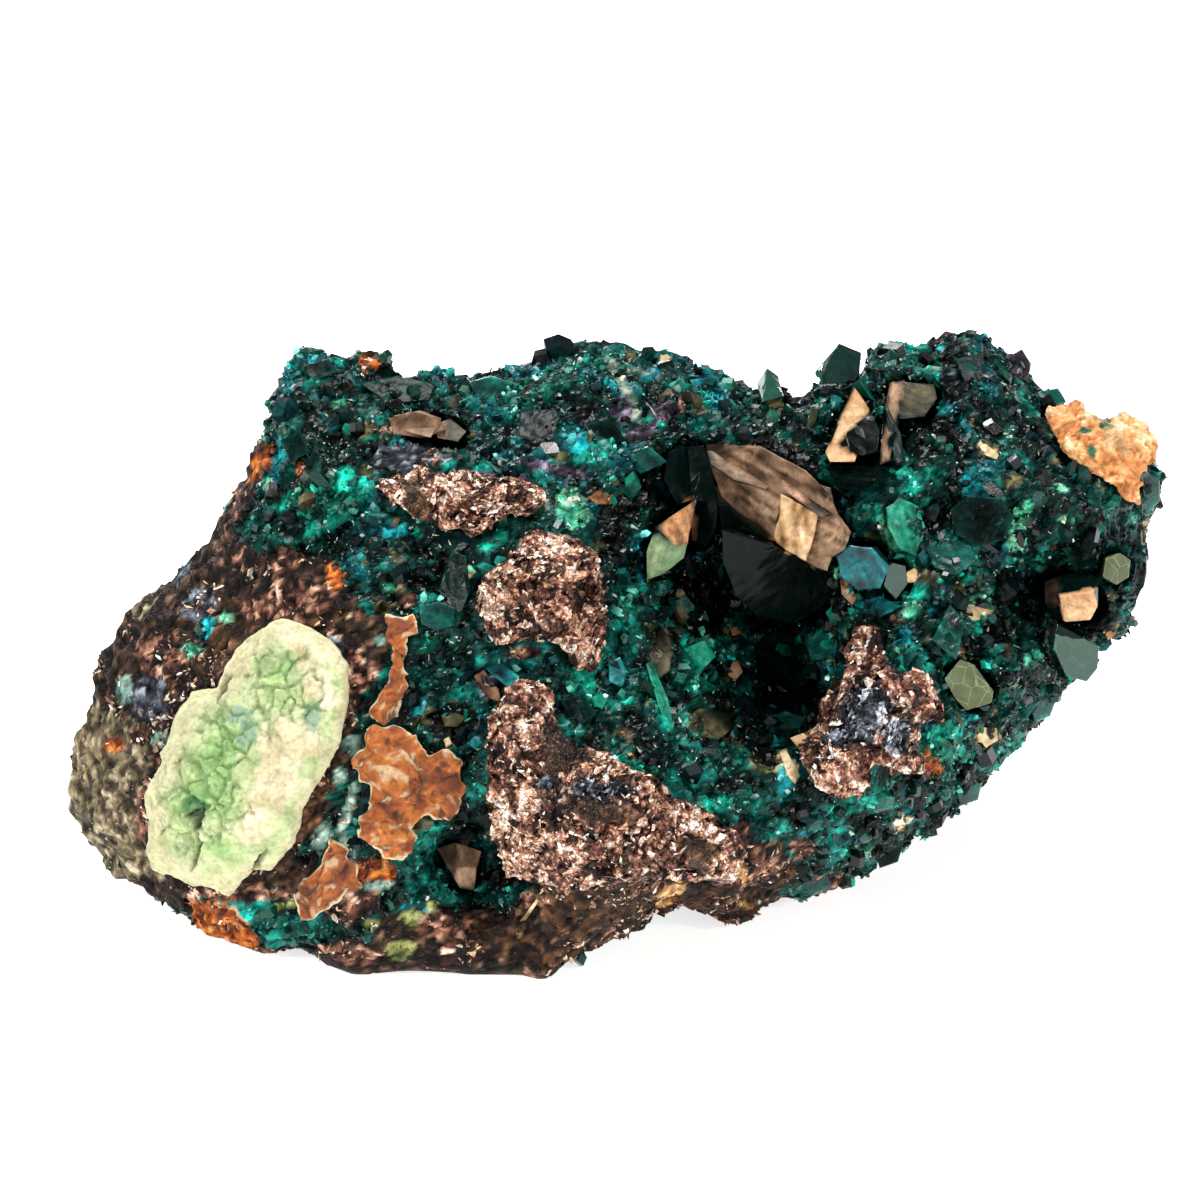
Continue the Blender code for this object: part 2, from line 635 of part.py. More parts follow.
RIDGE = [
    spots(
        (814, 372, 10.5), (830, 357, 12), (839, 343, 14), (848, 351, 13.5), (862, 352, 13.5),
        (860, 376, 9.5), (842, 384, 8.2), (818, 384, 8.5), (820, 372, 17), (856, 372, 18),
    ),
    spots(
        (788, 380, 12), (797, 370, 13), (808, 382, 12), (804, 402, 7.4), (786, 399, 7.4),
        (797, 395, 16), (790, 410, 12), (806, 410, 12),
    ),
]
RIDGE_LEFT = [
    spots(
        (756, 383, 12), (767, 367, 13), (779, 376, 12), (784, 396, 7.6), (762, 402, 7.2),
        (768, 395, 16), (760, 412, 12), (782, 410, 12),
    ),
]
PLATES = [
    slab_points(
        [(393, 415), (420, 410), (442, 418), (431, 438), (406, 432)],
        (418, 424, 2.2), (0.0, -0.06), (0, 10, 5.5, 1.0),
    ),
    slab_points(
        [(434, 424), (450, 418), (467, 431), (458, 442), (437, 438)],
        (450, 431, 2.6), (0.01, -0.06), (0, 10, 5.0, 1.0),
    ),
]
RIGHT_POCKET = [
    spots(
        (1059, 596, -0.6), (1094, 591, -0.2), (1098, 607, -0.2), (1090, 620, 0.0),
        (1065, 622, -0.2), (1064, 574, 2.2), (1085, 570, 2.4), (1099, 578, 2.2),
        (1044, 581, 2.0), (1044, 601, 1.8), (1050, 616, 1.8),
        (1050, 584, 8.5), (1096, 582, 8.5), (1094, 612, 8.5), (1052, 612, 8.5),
    ),
]
RIGHT_OLIVE = [
    slab_points(
        [(1106, 557), (1120, 553), (1131, 560), (1129, 577), (1117, 585), (1103, 577)],
        (1117, 569, 1.6), (0.05, 0.01), (-4, 0, 6.0, 1.0),
    ),
]
RIM_EMERALD = [
    slab_points(
        [(1057, 624), (1076, 636), (1100, 646), (1098, 668), (1087, 682), (1066, 676), (1053, 648)],
        (1076, 655, 1.2), (0.045, 0.03), (-8, -6, 7.0, 0.9),
    ),
    slab_points(
        [(1103, 646), (1126, 649), (1118, 665), (1103, 657)],
        (1113, 654, 5.6), (0.03, 0.0), (-10, -6, 6.0, 1.0),
    ),
]
LOW_POCKET = [
    spots(
        (436, 848, -3.4), (456, 842, -3.2), (482, 851, -3.2), (477, 867, -4.6),
        (446, 864, -4.8), (458, 868, -4.9), (474, 891, -4.0), (460, 889, -4.1),
        (440, 852, 2.0), (478, 852, 2.0), (474, 886, 2.0), (446, 880, 2.0),
    ),
]
OLIVE = [
    slab_points(
        [(944, 679), (960, 659), (974, 664), (994, 691), (992, 703), (966, 711), (955, 699)],
        (968, 685, -4.6), (0.03, -0.02), (0, -2, 6.0, 0.9),
    ),
]
EMERALD_BLOCKS = [
    slab_points(
        [(842, 552), (857, 546), (877, 547), (888, 560), (886, 580), (868, 592), (852, 575)],
        (866, 567, -2.0), (0.02, -0.02), (2, -2, 6.0, 0.92),
    ),
    slab_points(
        [(889, 562), (906, 566), (908, 584), (896, 600), (884, 586)],
        (896, 580, -2.4), (0.02, 0.03), (0, -2, 6.0, 0.95),
    ),
]


# ------------------------------------------------------------------- assembly
def main():
    for old in list(bpy.data.objects):
        bpy.data.objects.remove(old, do_unlink=True)

    gossan = material("gossan", (0.050, 0.028, 0.020), 0.65)
    green = material("green_crust", (0.44, 0.55, 0.30), 0.85)
    ochre = material("ochre", (0.42, 0.12, 0.02), 0.85)
    bronze = material("bronze_crust", (0.52, 0.27, 0.15), 0.38, 0.75)
    dioptase = material("dioptase", (0.004, 0.12, 0.09), 0.08, 0.0, 0.6, 1.66)
    olive = material("pale_dioptase", (0.36, 0.48, 0.26), 0.2, 0.0, 0.4, 1.66)

    rock, sheet = build_rock(gossan)

    crusts = {}
    for name, loop, thickness, edge, lumps, finish in [
        ("green_crust_slab", SLAB, SLAB_THICKNESS, 0.55, 0.45, green),
        ("ochre_crust_main", OCHRE_MAIN, OCHRE_THICKNESS, 0.6, 0.4, ochre),
        ("ochre_crust_strip", OCHRE_STRIP, OCHRE_THICKNESS, 0.6, 0.4, ochre),
        ("ochre_crust_foot", OCHRE_FOOT, OCHRE_THICKNESS, 0.6, 0.4, ochre),
        ("ochre_knob", KNOB, KNOB_THICKNESS, 0.45, 0.8, ochre),
        ("bronze_crust_upper", BRONZE_UPPER, BRONZE_THICKNESS, 0.5, 0.9, bronze),
        ("bronze_crust_middle", BRONZE_MIDDLE, BRONZE_THICKNESS, 0.5, 0.9, bronze),
        ("bronze_crust_lower", BRONZE_LOWER, BRONZE_THICKNESS, 0.5, 0.9, bronze),
        ("bronze_crust_right", BRONZE_RIGHT, BRONZE_THICKNESS, 0.5, 0.9, bronze),
    ]:
        seed = float(len(crusts)) * 5.3 + 1.0
        crusts[name] = build_crust(name, loop, thickness, edge, lumps, seed, sheet, finish)

    for name, blocks, through, finish in [
        ("pocket_roof_crystals", POCKET_ROOF, (), dioptase),
        ("pocket_left_crystals", POCKET_LEFT, (), dioptase),
        ("arrow_crystals", ARROW, (), dioptase),
        ("blade_crystals", BLADE, (), dioptase),
        ("ridge_crystals", RIDGE, (), dioptase),
        ("ridge_left_crystal", RIDGE_LEFT, (), dioptase),
        ("plate_crystals", PLATES, (), dioptase),
        ("right_pocket_crystal", RIGHT_POCKET, (), dioptase),
        ("right_olive_crystal", RIGHT_OLIVE, (), olive),
        ("rim_crystals", RIM_EMERALD, (), dioptase),
        ("low_pocket_crystal", LOW_POCKET, (), dioptase),
        ("olive_crystal", OLIVE, (), olive),
        ("emerald_blocks", EMERALD_BLOCKS, (), dioptase),
    ]:
        made = build_crystals(name, blocks, rock, [crusts[c] for c in through], finish)
        keep_largest_body(made)
    keep_largest_body(rock)

    # The origin goes to the middle of the underside of the whole specimen.
    solids = list(bpy.context.scene.collection.objects)
    corners = [v.co for obj in solids for v in obj.data.vertices]
    low = Vector([min(p[i] for p in corners) for i in range(3)])
    high = Vector([max(p[i] for p in corners) for i in range(3)])
    shift = Vector((-(low.x + high.x) / 2, -(low.y + high.y) / 2, -low.z))
    for obj in solids:
        obj.data.transform(Matrix.Translation(shift))
        obj.data.shade_flat()
        obj.data.update()
    print("shift to the base (mm):", [round(c * 1000, 4) for c in shift])
    print("size (mm):", [round((high[i] - low[i]) * 1000, 2) for i in range(3)])
    print("triangles:", {o.name: sum(len(p.vertices) - 2 for p in o.data.polygons) for o in solids})


main()
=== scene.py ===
import math

import bmesh
import bpy
import numpy as np
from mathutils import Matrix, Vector
from mathutils.bvhtree import BVHTree


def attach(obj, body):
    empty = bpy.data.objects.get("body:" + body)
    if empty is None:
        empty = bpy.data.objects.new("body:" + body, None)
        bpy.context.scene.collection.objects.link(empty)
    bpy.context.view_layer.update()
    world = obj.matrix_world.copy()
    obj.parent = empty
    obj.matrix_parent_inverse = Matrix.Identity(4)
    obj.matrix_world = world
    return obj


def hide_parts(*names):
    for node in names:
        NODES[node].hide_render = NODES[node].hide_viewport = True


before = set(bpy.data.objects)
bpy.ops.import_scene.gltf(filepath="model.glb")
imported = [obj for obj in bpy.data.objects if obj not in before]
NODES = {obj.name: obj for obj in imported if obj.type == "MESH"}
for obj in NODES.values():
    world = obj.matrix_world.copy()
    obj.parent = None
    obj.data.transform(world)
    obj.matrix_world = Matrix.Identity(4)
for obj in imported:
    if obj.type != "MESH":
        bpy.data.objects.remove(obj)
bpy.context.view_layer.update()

RNG = np.random.default_rng(20240817)
MM = 0.001

# ------------------------------------------------------------------ the drawing grid, as the solids use it
SQUARE = 0.0725e-3
DISTANCE = 0.600
TILT = math.radians(28.0)
SHIFT = np.array((-0.0011774, -0.0051822, 0.0))
RIGHT = np.array((1.0, 0.0, 0.0))
UP = np.array((0.0, math.sin(TILT), math.cos(TILT)))
INTO = np.array((0.0, math.cos(TILT), -math.sin(TILT)))
MIDDLE = np.array((0.0, 0.0, 0.0245)) + SHIFT
EYE = MIDDLE - INTO * DISTANCE


def at(u, v, d):
    plane = MIDDLE + RIGHT * ((u - 600) * SQUARE) + UP * ((600 - v) * SQUARE)
    return EYE + (plane - EYE) * (1 + d * MM / DISTANCE)


def to_grid(points):
    """(u, v, depth in mm) of points on the drawing grid."""
    rel = np.asarray(points) - EYE
    along = rel @ INTO
    plane = EYE + rel * (DISTANCE / along)[:, None] - MIDDLE
    return 600 + plane @ RIGHT / SQUARE, 600 - plane @ UP / SQUARE, (along - DISTANCE) / MM


# ------------------------------------------------------------------ numbers: noise, masks, colours
def hash3(ix, iy, iz, seed):
    h = (ix * 374761393 + iy * 668265263 + iz * 2147483647 + seed * 974634777) & 0xFFFFFFFF
    h = ((h ^ (h >> 13)) * 1274126177) & 0xFFFFFFFF
    h = ((h ^ (h >> 16)) * 2246822519) & 0xFFFFFFFF
    return ((h ^ (h >> 15)) & 0xFFFFFF) / float(0xFFFFFF)


def value_noise(p, seed=0):
    """Smooth noise in -1..1 at points p, with a cell of 1."""
    cell = np.floor(p).astype(np.int64)
    f = p - cell
    f = f * f * (3 - 2 * f)
    out = 0.0
    for dx in (0, 1):
        for dy in (0, 1):
            for dz in (0, 1):
                w = (f[:, 0] if dx else 1 - f[:, 0]) * (f[:, 1] if dy else 1 - f[:, 1]) * (f[:, 2] if dz else 1 - f[:, 2])
                out = out + w * hash3(cell[:, 0] + dx, cell[:, 1] + dy, cell[:, 2] + dz, seed)
    return out * 2 - 1


def fbm(p, size_mm, octaves=3, seed=0):
    q = np.asarray(p) / (size_mm * MM)
    out, weight, total = 0.0, 1.0, 0.0
    for k in range(octaves):
        out = out + weight * value_noise(q * 2**k + 17.3 * k, seed + k)
        total += weight
        weight *= 0.5
    return out / total


def smooth(x, lo, hi):
    t = np.clip((x - lo) / (hi - lo), 0, 1)
    return t * t * (3 - 2 * t)


def loop_distance(u, v, loop):
    """Signed distance to a closed loop, in squares: positive inside."""
    best = np.full(len(u), 1e9)
    odd = np.zeros(len(u), bool)
    for (u0, v0), (u1, v1) in zip(loop, loop[1:] + loop[:1]):
        du, dv = u1 - u0, v1 - v0
        s = np.clip(((u - u0) * du + (v - v0) * dv) / (du * du + dv * dv + 1e-9), 0, 1)
        best = np.minimum(best, np.hypot(u - u0 - s * du, v - v0 - s * dv))
        if v0 != v1:
            odd ^= ((v0 > v) != (v1 > v)) & (u < (u1 - u0) * (v - v0) / (v1 - v0) + u0)
    return np.where(odd, best, -best)


def lin(hex_colour):
    rgb = np.array([int(hex_colour[i : i + 2], 16) for i in (1, 3, 5)]) / 255.0
    return np.where(rgb <= 0.04045, rgb / 12.92, ((rgb + 0.055) / 1.055) ** 2.4)


def palette(*colours):
    return np.array([lin(c) for c in colours])


def pick(colours, x):
    """The colour at x in 0..1 along a palette."""
    x = np.clip(x, 0, 0.9999) * (len(colours) - 1)
    i = x.astype(int)
    f = (x - i)[:, None]
    return colours[i] * (1 - f) + colours[np.minimum(i + 1, len(colours) - 1)] * f


# ------------------------------------------------------------------ meshes
def arrays_of(obj):
    mesh = obj.data
    mesh.calc_loop_triangles()
    v = np.empty(len(mesh.vertices) * 3, np.float64)
    mesh.vertices.foreach_get("co", v)
    t = np.empty(len(mesh.loop_triangles) * 3, np.int32)
    mesh.loop_triangles.foreach_get("vertices", t)
    return v.reshape(-1, 3), t.reshape(-1, 3)


def object_from(name, verts, faces, sizes=None, colours=None, corners=None, smooth_faces=False):
    """A mesh object. faces is (n, 3) or (n, 4), or a flat list of corners with sizes."""
    mesh = bpy.data.meshes.new(name)
    faces = np.asarray(faces, np.int32)
    if sizes is None:
        sizes = np.full(len(faces), faces.shape[1], np.int32)
        faces = faces.ravel()
    starts = np.concatenate([[0], np.cumsum(sizes)[:-1]]).astype(np.int32)
    mesh.vertices.add(len(verts))
    mesh.vertices.foreach_set("co", np.asarray(verts, np.float32).ravel())
    mesh.loops.add(len(faces))
    mesh.loops.foreach_set("vertex_index", faces)
    mesh.polygons.add(len(sizes))
    mesh.polygons.foreach_set("loop_start", starts)
    mesh.polygons.foreach_set("loop_total", np.asarray(sizes, np.int32))
    mesh.update(calc_edges=True)
    if colours is not None:
        layer = mesh.color_attributes.new("tint", "FLOAT_COLOR", "POINT")
        rgba = np.ones((len(verts), 4), np.float32)
        rgba[:, :3] = colours
        layer.data.foreach_set("color", rgba.ravel())
    if corners is not None:
        layer = mesh.color_attributes.new("tint", "FLOAT_COLOR", "CORNER")
        rgba = np.ones((len(corners), 4), np.float32)
        rgba[:, :3] = np.clip(corners, 0, 1)
        layer.data.foreach_set("color", rgba.ravel())
    if smooth_faces:
        mesh.shade_smooth()
    else:
        mesh.shade_flat()
    obj = bpy.data.objects.new(name, mesh)
    bpy.context.scene.collection.objects.link(obj)
    return obj


def remeshed(obj, voxel_mm, name):
    """A copy of a solid with an even net of small faces."""
    mesh = obj.data.copy()
    copy = bpy.data.objects.new(name + "_source", mesh)
    bpy.context.scene.collection.objects.link(copy)
    shape = bmesh.new()
    shape.from_mesh(mesh)
    bmesh.ops.remove_doubles(shape, verts=shape.verts, dist=1e-6)
    bmesh.ops.recalc_face_normals(shape, faces=shape.faces)
    shape.to_mesh(mesh)
    shape.free()
    step = copy.modifiers.new("even", "REMESH")
    step.mode = "VOXEL"
    step.voxel_size = voxel_mm * MM
    graph = bpy.context.evaluated_depsgraph_get()
    graph.update()
    result = bpy.data.meshes.new_from_object(copy.evaluated_get(graph))
    v = np.empty(len(result.vertices) * 3)
    result.vertices.foreach_get("co", v)
    faces = np.empty(len(result.loops), np.int32)
    result.loops.foreach_get("vertex_index", faces)
    bpy.data.objects.remove(copy, do_unlink=True)
    return v.reshape(-1, 3), faces.reshape(-1, 4)


def relax(verts, quads, rounds, strength=0.5):
    """Laplacian smoothing over the edges of quads."""
    edges = np.concatenate([quads[:, [0, 1]], quads[:, [1, 2]], quads[:, [2, 3]], quads[:, [3, 0]]])
    count = np.bincount(edges[:, 0], minlength=len(verts)) + np.bincount(edges[:, 1], minlength=len(verts))
    for _ in range(rounds):
        total = np.zeros_like(verts)
        for axis in range(3):
            total[:, axis] = np.bincount(edges[:, 0], verts[edges[:, 1], axis], len(verts)) + np.bincount(
                edges[:, 1], verts[edges[:, 0], axis], len(verts)
            )
        verts = verts + strength * (total / count[:, None] - verts)
    return verts


def normals_of(verts, faces):
    if faces.shape[1] == 4:
        a = verts[faces[:, 2]] - verts[faces[:, 0]]
        b = verts[faces[:, 3]] - verts[faces[:, 1]]
    else:
        a = verts[faces[:, 1]] - verts[faces[:, 0]]
        b = verts[faces[:, 2]] - verts[faces[:, 0]]
    n = np.cross(a, b)
    out = np.zeros_like(verts)
    for k in range(faces.shape[1]):
        for axis in range(3):
            out[:, axis] += np.bincount(faces[:, k], n[:, axis], len(verts))
    return out / np.maximum(np.linalg.norm(out, axis=1), 1e-12)[:, None]


def unit(v):
    return v / np.maximum(np.linalg.norm(v, axis=-1, keepdims=True), 1e-12)


def frames(axis, turn):
    """(n, 3, 3) turns that carry +Z to axis, turned about it."""
    axis = unit(axis)
    ref = np.where(np.abs(axis[:, 2:3]) < 0.9, np.array([[0, 0, 1.0]]), np.array([[1.0, 0, 0]]))
    x = unit(np.cross(ref, axis))
    y = np.cross(axis, x)
    c, s = np.cos(turn)[:, None], np.sin(turn)[:, None]
    return np.stack([x * c + y * s, -x * s + y * c, axis], axis=2)


def refine(verts, tris, mask):
    """Splits the chosen triangles in four, and their neighbours so that no gap opens."""
    n = len(tris)
    ends = np.sort(np.concatenate([tris[:, [0, 1]], tris[:, [1, 2]], tris[:, [2, 0]]]), axis=1).astype(np.int64)
    keys, inverse = np.unique(ends[:, 0] * len(verts) + ends[:, 1], return_inverse=True)
    edge = inverse.reshape(3, n).T
    split = np.zeros(len(keys), bool)
    split[edge[mask].ravel()] = True
    number = np.full(len(keys), -1)
    number[split] = len(verts) + np.arange(split.sum())
    mids = (verts[keys[split] // len(verts)] + verts[keys[split] % len(verts)]) / 2
    m = number[edge]
    count = (m >= 0).sum(1)
    out = [tris[count == 0]]
    t, k = tris[count == 3], m[count == 3]
    for a, b, c in ((t[:, 0], k[:, 0], k[:, 2]), (k[:, 0], t[:, 1], k[:, 1]), (k[:, 2], k[:, 1], t[:, 2]), (k[:, 0], k[:, 1], k[:, 2])):
        out.append(np.stack([a, b, c], axis=1))
    for wanted in (1, 2):
        t, k = tris[count == wanted], m[count == wanted]
        rows = np.arange(len(t))
        if wanted == 1:
            r = np.argmax(k >= 0, axis=1)
            t0, t1, t2 = t[rows, r], t[rows, (r + 1) % 3], t[rows, (r + 2) % 3]
            mid = k[rows, r]
            out += [np.stack([t0, mid, t2], axis=1), np.stack([mid, t1, t2], axis=1)]
        else:
            r = np.argmax(k < 0, axis=1)
            t0, t1, t2 = t[rows, (r + 1) % 3], t[rows, (r + 2) % 3], t[rows, r]
            k0, k1 = k[rows, (r + 1) % 3], k[rows, (r + 2) % 3]
            out += [np.stack([k0, t1, k1], axis=1), np.stack([t0, k0, k1], axis=1), np.stack([t0, k1, t2], axis=1)]
    return np.concatenate([verts, mids]), np.concatenate(out)


def cube_relief(p, size_mm, seed, reach=0.75):
    """Height in 0..1 of small cubes grown in every direction, one to a cell of that size."""
    q = np.asarray(p) / (size_mm * MM)
    cell = np.floor(q).astype(np.int64)
    best = np.zeros(len(q))
    for dx in (-1, 0, 1):
        for dy in (-1, 0, 1):
            for dz in (-1, 0, 1):
                c = cell + (dx, dy, dz)
                r = [hash3(c[:, 0], c[:, 1], c[:, 2], seed + k) for k in range(7)]
                centre = c + np.stack(r[:3], axis=1)
                a = unit(np.stack(r[3:6], axis=1) * 2 - 1)
                b = unit(np.cross(a, np.roll(a, 1, axis=1) + 0.1))
                d = q - centre
                far = np.maximum(np.maximum(np.abs((d * a).sum(1)), np.abs((d * b).sum(1))), np.abs((d * np.cross(a, b)).sum(1)))
                best = np.maximum(best, (reach * (0.6 + 0.6 * r[6]) - far) / reach)
    return best


def cells(p, size_mm, seed):
    """The cell that each point falls in, of cells about this size with straight walls: (own numbers 0..1 (n, 4), distance to
    the nearest wall in cell sizes, place from the cell's middle in cell sizes)."""
    q = np.asarray(p) / (size_mm * MM)
    base = np.floor(q).astype(np.int64)
    first = np.full(len(q), 9.0)
    second = np.full(len(q), 9.0)
    own = np.zeros((len(q), 4))
    off = np.zeros((len(q), 3))
    for dx in (-1, 0, 1):
        for dy in (-1, 0, 1):
            for dz in (-1, 0, 1):
                c = base + (dx, dy, dz)
                centre = c + np.stack([hash3(c[:, 0], c[:, 1], c[:, 2], seed + k) for k in range(3)], axis=1)
                d = np.linalg.norm(q - centre, axis=1)
                nearer = d < first
                second = np.where(nearer, first, np.minimum(second, d))
                first = np.where(nearer, d, first)
                for k in range(4):
                    own[:, k] = np.where(nearer, hash3(c[:, 0], c[:, 1], c[:, 2], seed + 10 + k), own[:, k])
                off = np.where(nearer[:, None], q - centre, off)
    return own, second - first, off


def facets(p, size_mm, seed, tilt=0.9):
    """Flat crystal faces, one to a cell, each with its own tilt: (height about 0, own numbers, wall distance)."""
    own, wall, off = cells(p, size_mm, seed)
    lean = unit(own[:, :3] * 2 - 1)
    return (off * lean).sum(1) * tilt + (own[:, 3] - 0.5) * 0.5, own, wall


def sample(verts, tris, weight, count, apart_mm, rng):
    """Points on a surface, spread by weight and area, at most one to a small cell. Returns (points, triangle)."""
    a, b, c = verts[tris[:, 0]], verts[tris[:, 1]], verts[tris[:, 2]]
    area = np.linalg.norm(np.cross(b - a, c - a), axis=1) * weight
    if area.sum() <= 0:
        return np.zeros((0, 3)), np.zeros(0, int)
    chosen = rng.choice(len(tris), size=count * 4, p=area / area.sum())
    r1, r2 = np.sqrt(rng.random(len(chosen))), rng.random(len(chosen))
    p = (1 - r1)[:, None] * a[chosen] + (r1 * (1 - r2))[:, None] * b[chosen] + (r1 * r2)[:, None] * c[chosen]
    keys = np.floor(p / (apart_mm * MM)).astype(np.int64) + 5000
    _, first = np.unique(keys[:, 0] * 10**8 + keys[:, 1] * 10**4 + keys[:, 2], return_index=True)
    first = np.sort(first)[:count]
    return p[first], chosen[first]


# Templates: (verts, faces as lists). Unit size, base at z = 0, growing along +Z.
def prism_template(tip=0.617, taper=1.0):
    """A six-sided prism with the three steep faces of dioptase at its end."""
    verts, faces = [], []
    for k in range(6):
        a = math.radians(60 * k)
        verts.append((0.5 * math.cos(a), 0.5 * math.sin(a), 0.0))
    for k in range(6):
        a = math.radians(60 * k)
        high = 1.0 - (tip * 0.5 if k % 2 else 0.0)
        verts.append((0.5 * taper * math.cos(a), 0.5 * taper * math.sin(a), high))
    verts.append((0, 0, 1.0 + tip * 0.5))
    for k in range(6):
        faces.append((k, (k + 1) % 6, 6 + (k + 1) % 6, 6 + k))
    for k in (0, 2, 4):
        faces.append((12, 6 + k, 6 + k + 1, 6 + (k + 2) % 6))
    faces.append((5, 4, 3, 2, 1, 0))
    return np.array(verts), faces


def chunk_template(seed, count=9, flat=1.0):
    """An angular chip: the convex hull of a few points."""
    rng = np.random.default_rng(seed)
    p = unit(rng.normal(size=(count, 3))) * rng.uniform(0.38, 0.55, (count, 1))
    p[:, 2] *= flat
    shape = bmesh.new()
    for q in p:
        shape.verts.new(q)
    bmesh.ops.convex_hull(shape, input=shape.verts)
    bmesh.ops.delete(shape, geom=[v for v in shape.verts if not v.link_faces], context="VERTS")
    bmesh.ops.recalc_face_normals(shape, faces=shape.faces)
    shape.verts.index_update()
    verts = np.array([v.co[:] for v in shape.verts])
    faces = [tuple(v.index for v in f.verts) for f in shape.faces]
    shape.free()
    return verts, faces


def stamp(name, templates, which, points, turns, scales, colours, rng, shade=(0.5, 1.15), facet=0.3):
    """Copies of the templates joined into one mesh: turned, scaled (n, 3) and moved. Each has its own colour, with
    painted shade darker at its foot than at its tip, and each facet a random brightness of its own, a painted glint."""
    all_v, all_f, all_s, all_c, base = [], [], [], [], 0
    for t, (tv, tf) in enumerate(templates):
        chosen = np.nonzero(which == t)[0]
        n = len(chosen)
        if not n:
            continue
        world = np.einsum("nij,nmj->nmi", turns[chosen], tv[None] * scales[chosen][:, None, :]) + points[chosen][:, None]
        all_v.append(world.reshape(-1, 3))
        flat = np.array([i for f in tf for i in f])
        sizes = np.array([len(f) for f in tf])
        all_f.append((flat[None] + (base + np.arange(n) * len(tv))[:, None]).ravel())
        all_s.append(np.tile(sizes, n))
        height = (tv[:, 2] - tv[:, 2].min()) / max(1e-9, np.ptp(tv[:, 2]))
        # painted shade darker at the foot of each copy, and a random brightness on each facet as a painted glint
        painted_foot_shade = (shade[0] + (shade[1] - shade[0]) * height)[flat]
        painted_facet_glint = np.repeat(rng.lognormal(0, facet, (n, len(tf))), sizes, axis=1)
        all_c.append((colours[chosen][:, None] * (painted_foot_shade[None] * painted_facet_glint)[:, :, None]).reshape(-1, 3))
        base += n * len(tv)
    return object_from(name, np.concatenate(all_v), np.concatenate(all_f), np.concatenate(all_s), corners=np.concatenate(all_c))


# ------------------------------------------------------------------ materials
def new_material(name):
    mat = bpy.data.materials.new(name)
    mat.use_nodes = True
    tree = mat.node_tree
    return mat, tree, tree.nodes["Principled BSDF"], tree.nodes["Material Output"]


def node(tree, kind, **values):
    made = tree.nodes.new(kind)
    for key, value in values.items():
        if key.startswith("_"):
            setattr(made, key[1:], value)
        else:
            made.inputs[key.replace("__", " ")].default_value = value
    return made


def ramp(tree, stops, fac):
    made = tree.nodes.new("ShaderNodeValToRGB")
    while len(made.color_ramp.elements) < len(stops):
        made.color_ramp.elements.new(0.5)
    for element, (pos, colour) in zip(made.color_ramp.elements, stops):
        element.position = pos
        c = lin(colour) if isinstance(colour, str) else np.array([colour] * 3)
        element.color = (*c, 1.0)
    tree.links.new(fac, made.inputs["Fac"])
    return made.outputs["Color"]


def mix(tree, a, b, fac, mode="MIX"):
    made = tree.nodes.new("ShaderNodeMix")
    made.data_type = "RGBA"
    made.blend_type = mode
    for value, socket in ((fac, made.inputs["Factor"]), (a, made.inputs[6]), (b, made.inputs[7])):
        if hasattr(value, "is_linked") or hasattr(value, "links"):
            tree.links.new(value, socket)
        elif isinstance(value, (int, float)):
            socket.default_value = value if socket.type == "VALUE" else (value, value, value, 1)
        else:
            socket.default_value = (*value, 1.0)
    return made.outputs[2]


def coords(tree):
    return tree.nodes.new("ShaderNodeTexCoord").outputs["Object"]


def noise_node(tree, size_mm, detail=3.0, rough=0.55, vector=None, distortion=0.0):
    made = node(tree, "ShaderNodeTexNoise", Scale=1.0 / (size_mm * MM), Detail=detail, Roughness=rough, Distortion=distortion)
    tree.links.new(vector or coords(tree), made.inputs["Vector"])
    return made.outputs["Fac"]


def voronoi_node(tree, size_mm, feature="F1", output="Distance", vector=None, randomness=1.0):
    made = node(tree, "ShaderNodeTexVoronoi", _feature=feature, Scale=1.0 / (size_mm * MM), Randomness=randomness)
    tree.links.new(vector or coords(tree), made.inputs["Vector"])
    return made.outputs[output]


def math_node(tree, op, a, b=0.0, c=0.0):
    made = tree.nodes.new("ShaderNodeMath")
    made.operation = op
    for i, value in enumerate((a, b, c)):
        if hasattr(value, "links"):
            tree.links.new(value, made.inputs[i])
        else:
            made.inputs[i].default_value = value
    return made.outputs[0]


def bump(tree, shader, height, distance_mm, strength=1.0):
    made = node(tree, "ShaderNodeBump", Strength=strength, Distance=distance_mm * MM)
    tree.links.new(height, made.inputs["Height"])
    tree.links.new(made.outputs["Normal"], shader.inputs["Normal"])
    return made


def attribute(tree, name="tint", output="Color"):
    made = tree.nodes.new("ShaderNodeAttribute")
    made.attribute_name = name
    return made.outputs[output]


# Small crystals: the tint of each crystal, cloudy inside, glassy outside.
def druse_material(name="druse", clear=0.12, gloss=0.22, ior=1.66):
    mat, tree, shader, _ = new_material(name)
    shader.inputs["Specular IOR Level"].default_value = gloss
    tint = attribute(tree)
    cloud = noise_node(tree, 0.5, 3.0, 0.6)
    fine = voronoi_node(tree, 0.16)
    shade = ramp(tree, [(0.25, 0.45), (0.5, 0.95), (0.75, 1.55)], cloud)
    colour = mix(tree, tint, shade, 1.0, "MULTIPLY")
    tree.links.new(colour, shader.inputs["Base Color"])
    rough = ramp(tree, [(0.2, 0.12), (0.8, 0.4)], cloud)
    tree.links.new(rough, shader.inputs["Roughness"])
    shader.inputs["IOR"].default_value = ior
    shader.inputs["Transmission Weight"].default_value = clear
    bump(tree, shader, fine, 0.02, 0.35)
    return mat


